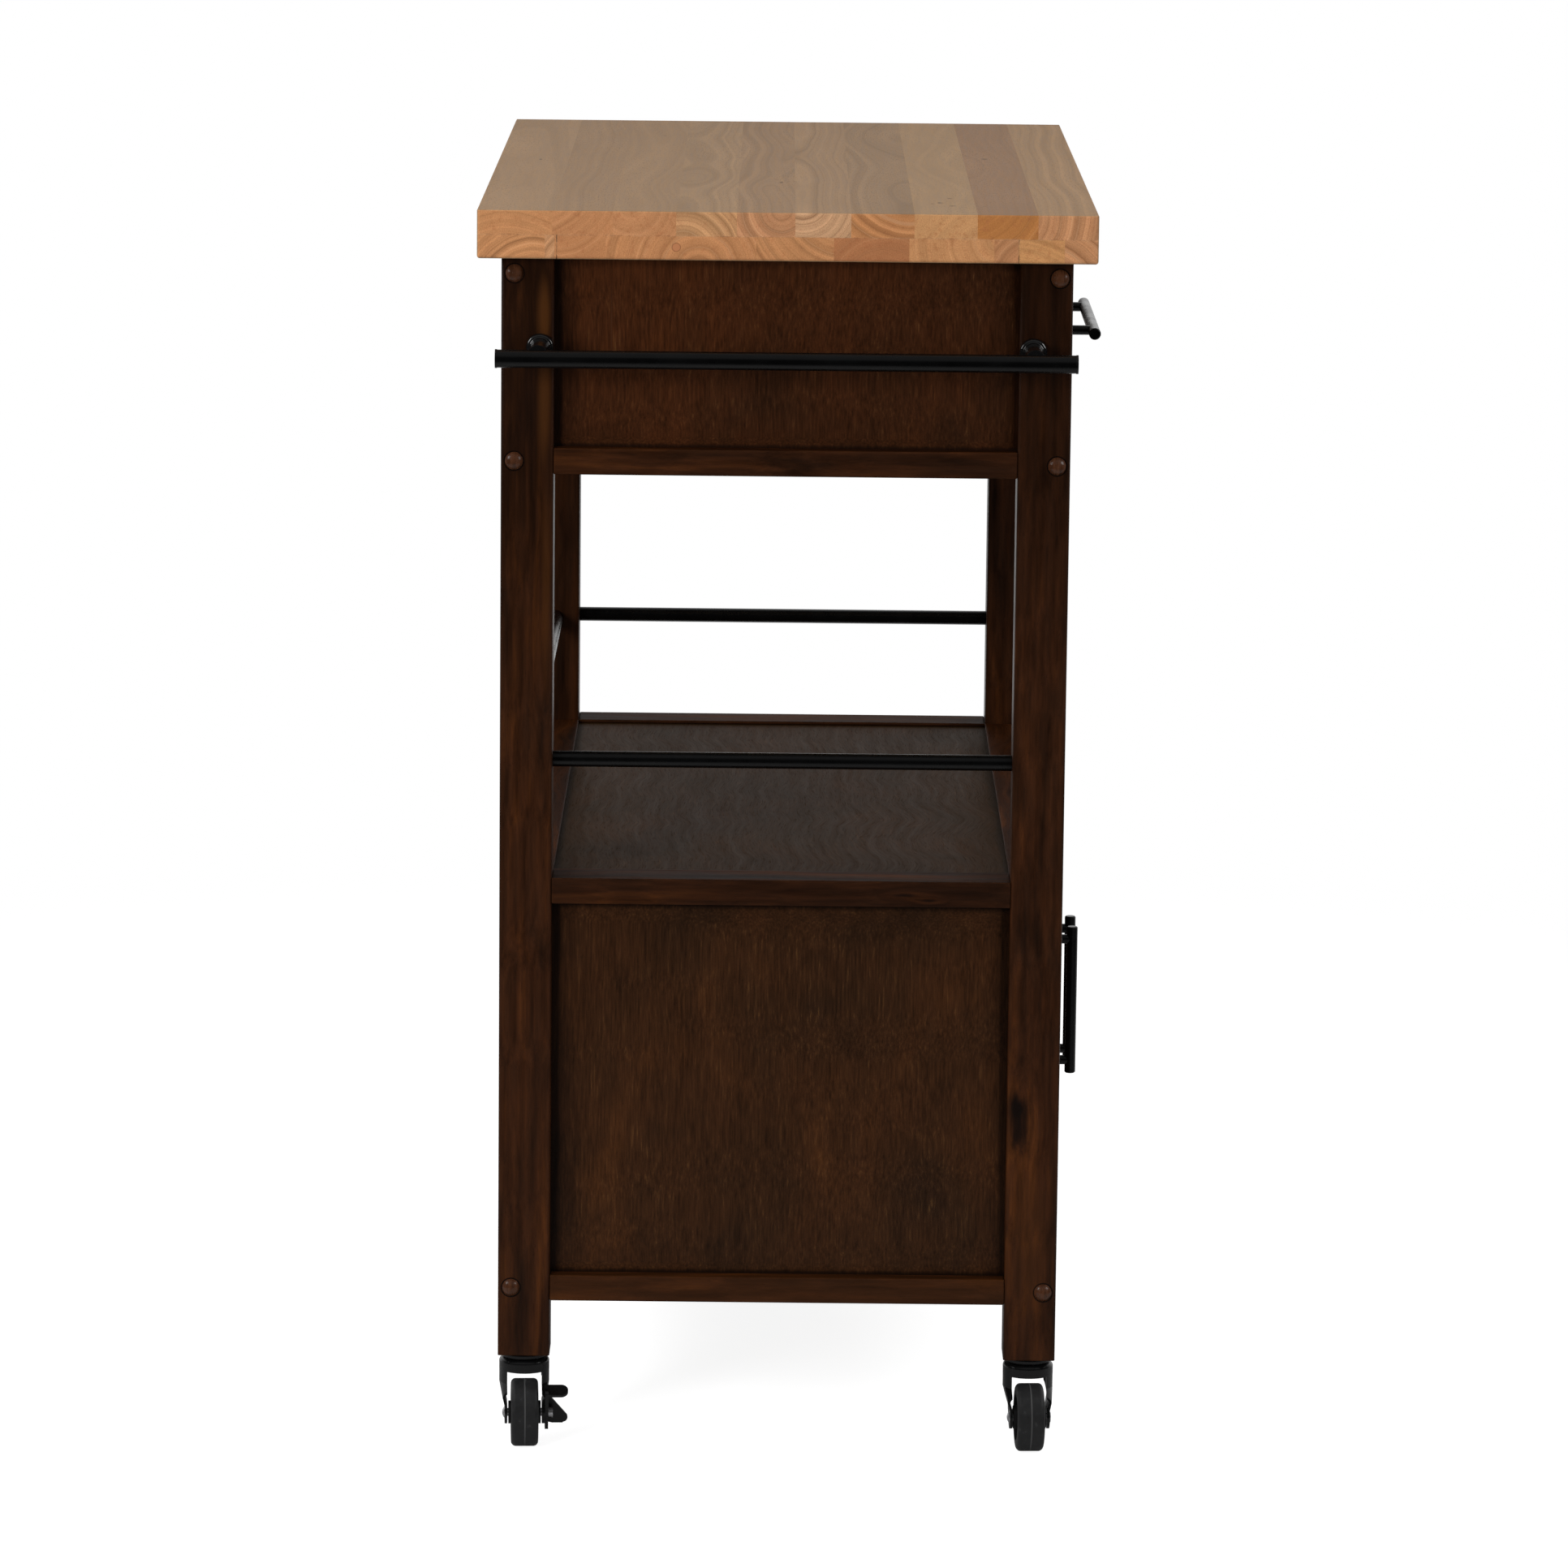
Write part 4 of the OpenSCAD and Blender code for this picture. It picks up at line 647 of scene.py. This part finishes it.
# Marks and darker places that the photo shows, with painted shade beside the posts and along the rails,
# a painted highlight on a post's edge, and the shelf's olive tint, which is painted sheen: middle, three
# radii, colour and strength
MARKS = {
    "post_front_left": [((END_X, -0.1752, 0.2575), (0.02, 0.0125, 0.0170), KNOT_AND_SHADE, 1.0),
                        ((END_X, -0.1765, 0.2400), (0.02, 0.0095, 0.0190), KNOT_AND_SHADE, 0.85),
                        ((END_X, -0.1850, 0.1600), (0.02, 0.0160, 0.0700), AMBER_AND_HIGHLIGHT, 0.16)],
    # On the back left post, the amber streaks along its inner edge are a painted highlight on its
    # rounded edge
    "post_back_left": [((END_X, 0.1900, 0.800), (0.02, 0.0300, 0.1100), KNOT_AND_SHADE, 0.55),
                       ((END_X, 0.1745, 0.838), (0.01, 0.0060, 0.034), AMBER_AND_HIGHLIGHT, 0.50),
                       ((END_X, 0.1740, 0.775), (0.01, 0.0060, 0.055), AMBER_AND_HIGHLIGHT, 0.38),
                       ((END_X, 0.1720, 0.640), (0.01, 0.0040, 0.090), AMBER_AND_HIGHLIGHT, 0.25)],
    "left_end_rails": [((END_X, -0.090, 0.4160), (DEEP, 0.0110, 0.0022), KNOT_AND_SHADE, 0.8),
                       ((END_X, -0.108, 0.4120), (DEEP, 0.0070, 0.0016), KNOT_AND_SHADE, 0.7),
                       ((END_X, 0.0, 0.4165), (DEEP, WIDE, 0.0160), KNOT_AND_SHADE, 0.32),
                       ((END_X, 0.0, 0.1195), (DEEP, WIDE, 0.0180), AMBER_AND_HIGHLIGHT, 0.12)],
    # On the left end panels: a pale streak, painted shade in lines where the panels meet the rails, and
    # painted shade in bands beside the back posts
    "left_end_panels": [((PANEL_X, 0.1262, 0.828), (DEEP, 0.0004, 0.034), PALE, 0.45),
                        ((PANEL_X, 0.0, 0.1290), (DEEP, WIDE, 0.0034), KNOT_AND_SHADE, 0.85),
                        ((PANEL_X, 0.0, 0.7410), (DEEP, WIDE, 0.0030), KNOT_AND_SHADE, 0.75),
                        ((PANEL_X, 0.0, 0.4070), (DEEP, WIDE, 0.0060), KNOT_AND_SHADE, 0.60),
                        ((PANEL_X, OPEN_Y, 0.260), (DEEP, 0.0300, 0.2500), KNOT_AND_SHADE, 0.45),
                        ((PANEL_X, OPEN_Y, 0.810), (DEEP, 0.0260, 0.1200), KNOT_AND_SHADE, 0.40)],
    # The shelf's olive-grey tint is painted sheen
    "shelf_board": [((0.0, 0.0, SHELF_Z), (WIDE, WIDE, WIDE), OLIVE_SHEEN, 0.42)],
}
# Edges of the panels that fill an opening: axis, and lowest and highest place
ALONG_X, ALONG_Y = (0, (-OPEN_X, OPEN_X)), (1, (-OPEN_Y, OPEN_Y))


def dress(node, material, bevel=None, angle=35.0):
    """Gives a node its material and, where a width is given, a small bevel on its edges."""
    o = nodes[node]
    o.data.materials.clear()
    o.data.materials.append(material)
    if bevel:
        weld = o.modifiers.new("weld", "WELD")
        weld.merge_threshold = 0.00002
        m = o.modifiers.new("edges", "BEVEL")
        m.width = bevel
        m.segments = 2
        m.limit_method = "ANGLE"
        m.angle_limit = math.radians(angle)
        m.use_clamp_overlap = True
        m.harden_normals = True


def dress_worktop():
    dress("worktop_board", block_wood("block_upper", UPPER, 1.0, TOP_Z - LAYER / 2, spots=TINY_KNOTS))
    lower = block_wood("block_lower", LOWER, 5.0, TOP_Z - LAYER * 1.5, strips=True)
    dress("worktop_long_strips", lower)
    dress("worktop_end_strips", lower)


def dress_frame():
    for i, corner in enumerate(CORNERS):
        post = "post_" + corner
        # The right-hand posts, at the far end, are painted darker: painted shade over the same stain
        wood = stained_wood("stain_" + post, 2, 1.0 + i, marks=MARKS.get(post, ()), post=True,
                            tone=0.78 if corner.endswith("right") else 1.0)
        dress(post, wood, EASE)
    for i, rails in enumerate(("left_end_rails", "right_end_rails")):
        wood = stained_wood("stain_" + rails, 1, 6.0 + i, marks=MARKS.get(rails, ()), tone=0.9)
        dress(rails, wood, EASE)
    for i, rail in enumerate(("front_top_rail", "front_drawer_rail", "front_shelf_rail",
                              "front_bottom_rail", "back_rails")):
        dress(rail, stained_wood("stain_" + rail, 0, 9.0 + i), EASE)
    dress("bolt_caps", cap_wood("turned_caps"))


def dress_panels():
    for node, grain, seed, edges in (("left_end_panels", 2, 15.0, [ALONG_Y]),
                                     ("right_end_panels", 2, 16.0, [ALONG_Y]),
                                     ("back_panels", 0, 18.0, [ALONG_X]),
                                     ("shelf_board", 0, 19.0, [ALONG_X, ALONG_Y]),
                                     ("cabinet_floor", 0, 20.0, [ALONG_X, ALONG_Y])):
        dress(node, stained_wood("veneer_" + node, grain, seed, edges, MARKS.get(node, ())))


def dress_doors():
    upright = (2, (DOOR_LOW, DOOR_HIGH))
    for i, (door, between) in enumerate((("left_door", (-DOOR_FAR, -DOOR_NEAR)),
                                         ("right_door", (DOOR_NEAR, DOOR_FAR)))):
        frame_wood = stained_wood("stain_" + door, 2, 23.0 + i, crossed=between)
        dress(door + "_frame", frame_wood, DOOR_EASE)
        panel_wood = stained_wood("veneer_" + door, 2, 26.0 + i, panel=[(0, between), upright])
        dress(door + "_panel", panel_wood)
    dress("door_catches", moulded("catch_plastic", CATCH_BROWN), SMALL_EASE)


def dress_drawer():
    dress("drawer_front", stained_wood("stain_drawer_front", 0, 21.0))
    dress("drawer_sides", plain_wood("drawer_sides_wood", 1, 1.0), DRAWER_EASE)
    dress("drawer_back", plain_wood("drawer_back_wood", 0, 2.0), DRAWER_EASE)
    dress("drawer_bottom", plain_wood("drawer_bottom_wood", 0, 3.0, BOTTOM_WOOD))
    dress("drawer_cleats", plain_wood("cleat_wood", 1, 4.0, CLEAT_WOOD), SMALL_EASE)


def dress_all(names, material):
    for name in names:
        dress(name, material)


def dress_metal():
    dress_all(("slide_outer_members", "slide_inner_members", "slide_ball_cages"),
              plated("plated_along_y", 1))
    dress_all(("connector_bolts", "barrel_nuts", "left_door_fittings", "right_door_fittings",
               *("axle_" + corner for corner in CORNERS)), plated("plated_along_x", 0))
    dress_all(("gallery_end_tubes", "gallery_back_tube", "towel_bar", "drawer_pull",
               "left_door_handle", "right_door_handle"),
              black_paint("black_tubes", *TUBE_PAINT))
    dress("towel_bar_brackets", black_paint("black_brackets", *BRACKET_PAINT))


def dress_casters():
    paint = black_paint("black_casters", *CASTER_PAINT)
    dress_all(("caster_stems", *("fork_" + corner for corner in CORNERS)), paint)
    for lever in ("brake_lever_back_left", "brake_lever_back_right"):
        dress(lever, paint, SHEET_EASE, 30.0)
    for corner in CORNERS:
        lo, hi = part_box("wheel_" + corner)
        dress("wheel_" + corner, wheel_plastic("wheel_grey_" + corner, (lo + hi) / 2))


# Studio

# Light of the world on the cart, grey of the floor, and the floor's glow to the camera and in
# mirrored light
SKY, FLOOR_COLOUR, FLOOR_GLOW = 0.24, 0.45, 0.86
# Places that the lamps are aimed at
LOW_AIM, SIDE_AIM, BACK_AIM, TOP_AIM = (0, 0, 0.35), (-0.25, 0, 0.5), (0, 0, 0.4), (0, 0, 0.9)
WHITE = (1.0, 1.0, 1.0, 1.0)


def studio_floor(radius, clear):
    """Pale floor that keeps the cart's shadow. It is whole within the distance given as clear, and
    fades out into the white around it."""
    bpy.ops.mesh.primitive_circle_add(vertices=96, radius=radius, fill_type="NGON")
    floor = bpy.context.object
    floor.name = "studio_floor"
    t = Tree("pale_floor")
    t.set(Base_Color=(FLOOR_COLOUR, FLOOR_COLOUR, FLOOR_COLOUR, 1.0), Roughness=0.9,
          Specular_IOR_Level=0.0)
    light = t.add("ShaderNodeLightPath").outputs
    mirrored = t.math("MAXIMUM", light["Is Glossy Ray"], light["Is Transmission Ray"])
    mirrored = t.times(mirrored, t.span(t.split(t.place)[0], -0.3, 0.9))
    glow = t.add("ShaderNodeEmission")
    glow.inputs["Color"].default_value = WHITE
    seen = t.math("MAXIMUM", light["Is Camera Ray"], mirrored)
    t.put(glow.inputs["Strength"], t.times(seen, FLOOR_GLOW))
    both = t.add("ShaderNodeAddShader")
    t.put(both.inputs[0], t.shader.outputs["BSDF"])
    t.put(both.inputs[1], glow.outputs[0])
    none = t.add("ShaderNodeBsdfTransparent")
    fade = t.add("ShaderNodeMixShader")
    t.put(fade.inputs[0], t.span(t.vector("LENGTH", t.place), clear, radius * 0.98))
    t.put(fade.inputs[1], both.outputs[0])
    t.put(fade.inputs[2], none.outputs[0])
    t.put(t.out.inputs["Surface"], fade.outputs[0])
    floor.data.materials.append(t.material)


def softbox(name, place, aim, size, power, mirrored=False):
    """A square area lamp aimed at a place, and seen in mirrored light only where that is asked."""
    data = bpy.data.lights.new(name, "AREA")
    data.shape = "SQUARE"
    data.size = size
    data.energy = power
    lamp = bpy.data.objects.new(name, data)
    bpy.context.scene.collection.objects.link(lamp)
    lamp.location = place
    lamp.rotation_euler = (Vector(aim) - Vector(place)).to_track_quat("-Z", "Y").to_euler()
    lamp.visible_glossy = mirrored


def studio_lamps():
    softbox("softbox_front_left", (-3.0, 1.7, 1.35), LOW_AIM, size=0.9, power=68.0)
    softbox("softbox_front_right", (-3.0, -1.9, 1.0), LOW_AIM, size=1.6, power=24.0)
    softbox("softbox_side_left", (-0.62, 1.55, 1.55), SIDE_AIM, size=0.7, power=9.0, mirrored=True)
    softbox("softbox_side_right", (-0.62, -1.55, 1.55), SIDE_AIM, size=0.7, power=9.0, mirrored=True)
    softbox("softbox_back_left", (2.6, 1.9, 1.2), BACK_AIM, size=1.4, power=20.0)
    softbox("softbox_back_right", (2.4, -2.2, 1.2), BACK_AIM, size=1.4, power=30.0)
    softbox("softbox_top", (-0.1, 0.0, 3.2), TOP_AIM, size=1.8, power=18.0)


def studio_world():
    """White to the camera, and in mirrored light from behind the cart. In mirrored light the
    ceiling is grey and the camera's side dark, as with black cloths round a product table."""
    world = bpy.data.worlds.new("studio")
    world.use_nodes = True
    tree = world.node_tree
    tree.nodes.clear()
    out = tree.nodes.new("ShaderNodeOutputWorld")
    sky = tree.nodes.new("ShaderNodeBackground")
    sky.inputs["Color"].default_value = WHITE
    tree.links.new(sky.outputs[0], out.inputs[0])
    place = tree.nodes.new("ShaderNodeTexCoord")
    split = tree.nodes.new("ShaderNodeSeparateXYZ")
    tree.links.new(place.outputs["Generated"], split.inputs[0])
    path = tree.nodes.new("ShaderNodeLightPath")

    def faded(axis, start, end, low, high):
        n = tree.nodes.new("ShaderNodeMapRange")
        n.interpolation_type = "SMOOTHSTEP"
        tree.links.new(split.outputs[axis], n.inputs["Value"])
        for socket, value in zip(("From Min", "From Max", "To Min", "To Max"),
                                 (start, end, low, high)):
            n.inputs[socket].default_value = value
        return n.outputs["Result"]

    def mixed(fac, a, b):
        n = tree.nodes.new("ShaderNodeMix")
        n.data_type = "FLOAT"
        tree.links.new(fac, n.inputs[0])
        for socket, value in ((n.inputs[2], a), (n.inputs[3], b)):
            if isinstance(value, float):
                socket.default_value = value
            else:
                tree.links.new(value, socket)
        return n.outputs[0]

    seen = tree.nodes.new("ShaderNodeMath")
    seen.operation = "MAXIMUM"
    tree.links.new(faded(0, 0.1, 0.8, 0.0, 1.0), seen.inputs[0])
    tree.links.new(faded(2, 0.35, 0.75, 0.01, 0.27), seen.inputs[1])
    mirrored = mixed(path.outputs["Is Glossy Ray"], SKY, seen.outputs[0])
    through = mixed(path.outputs["Is Transmission Ray"], mirrored, 1.0)
    strength = mixed(path.outputs["Is Camera Ray"], through, 1.0)
    tree.links.new(strength, sky.inputs["Strength"])
    bpy.context.scene.world = world


# The camera fitted to the photo: focal length and frame in pixels, place in metres, and yaw, pitch
# and roll in degrees
FOCAL_PIXELS, FRAME_PIXELS, SENSOR_MM = 8833.785, 1932, 36.0
CAMERA_PLACE = (-5.48380, 0.00651, 1.41281)
CAMERA_ANGLES = (-0.087789, 10.138251, 0.606121)


def photo_camera():
    yaw, pitch, roll = (math.radians(a) for a in CAMERA_ANGLES)
    ahead = Vector((math.cos(pitch) * math.cos(yaw), math.cos(pitch) * math.sin(yaw),
                    -math.sin(pitch)))
    right = Vector((math.sin(yaw), -math.cos(yaw), 0.0))
    up = right.cross(ahead)
    rolled_right = right * math.cos(roll) + up * math.sin(roll)
    rolled_up = up * math.cos(roll) - right * math.sin(roll)
    data = bpy.data.cameras.new("photo_camera")
    data.sensor_fit = "HORIZONTAL"
    data.sensor_width = SENSOR_MM
    data.lens = FOCAL_PIXELS / FRAME_PIXELS * SENSOR_MM
    data.clip_end = 100.0
    cam = bpy.data.objects.new("photo_camera", data)
    bpy.context.scene.collection.objects.link(cam)
    turned = Matrix((rolled_right, rolled_up, -ahead)).transposed().to_4x4()
    cam.matrix_world = Matrix.Translation(CAMERA_PLACE) @ turned
    bpy.context.scene.camera = cam


dress_worktop()
dress_frame()
dress_panels()
dress_doors()
dress_drawer()
dress_metal()
dress_casters()
studio_floor(radius=1.9, clear=0.75)
studio_world()
studio_lamps()
photo_camera()
bpy.context.scene.view_settings.view_transform = "Standard"
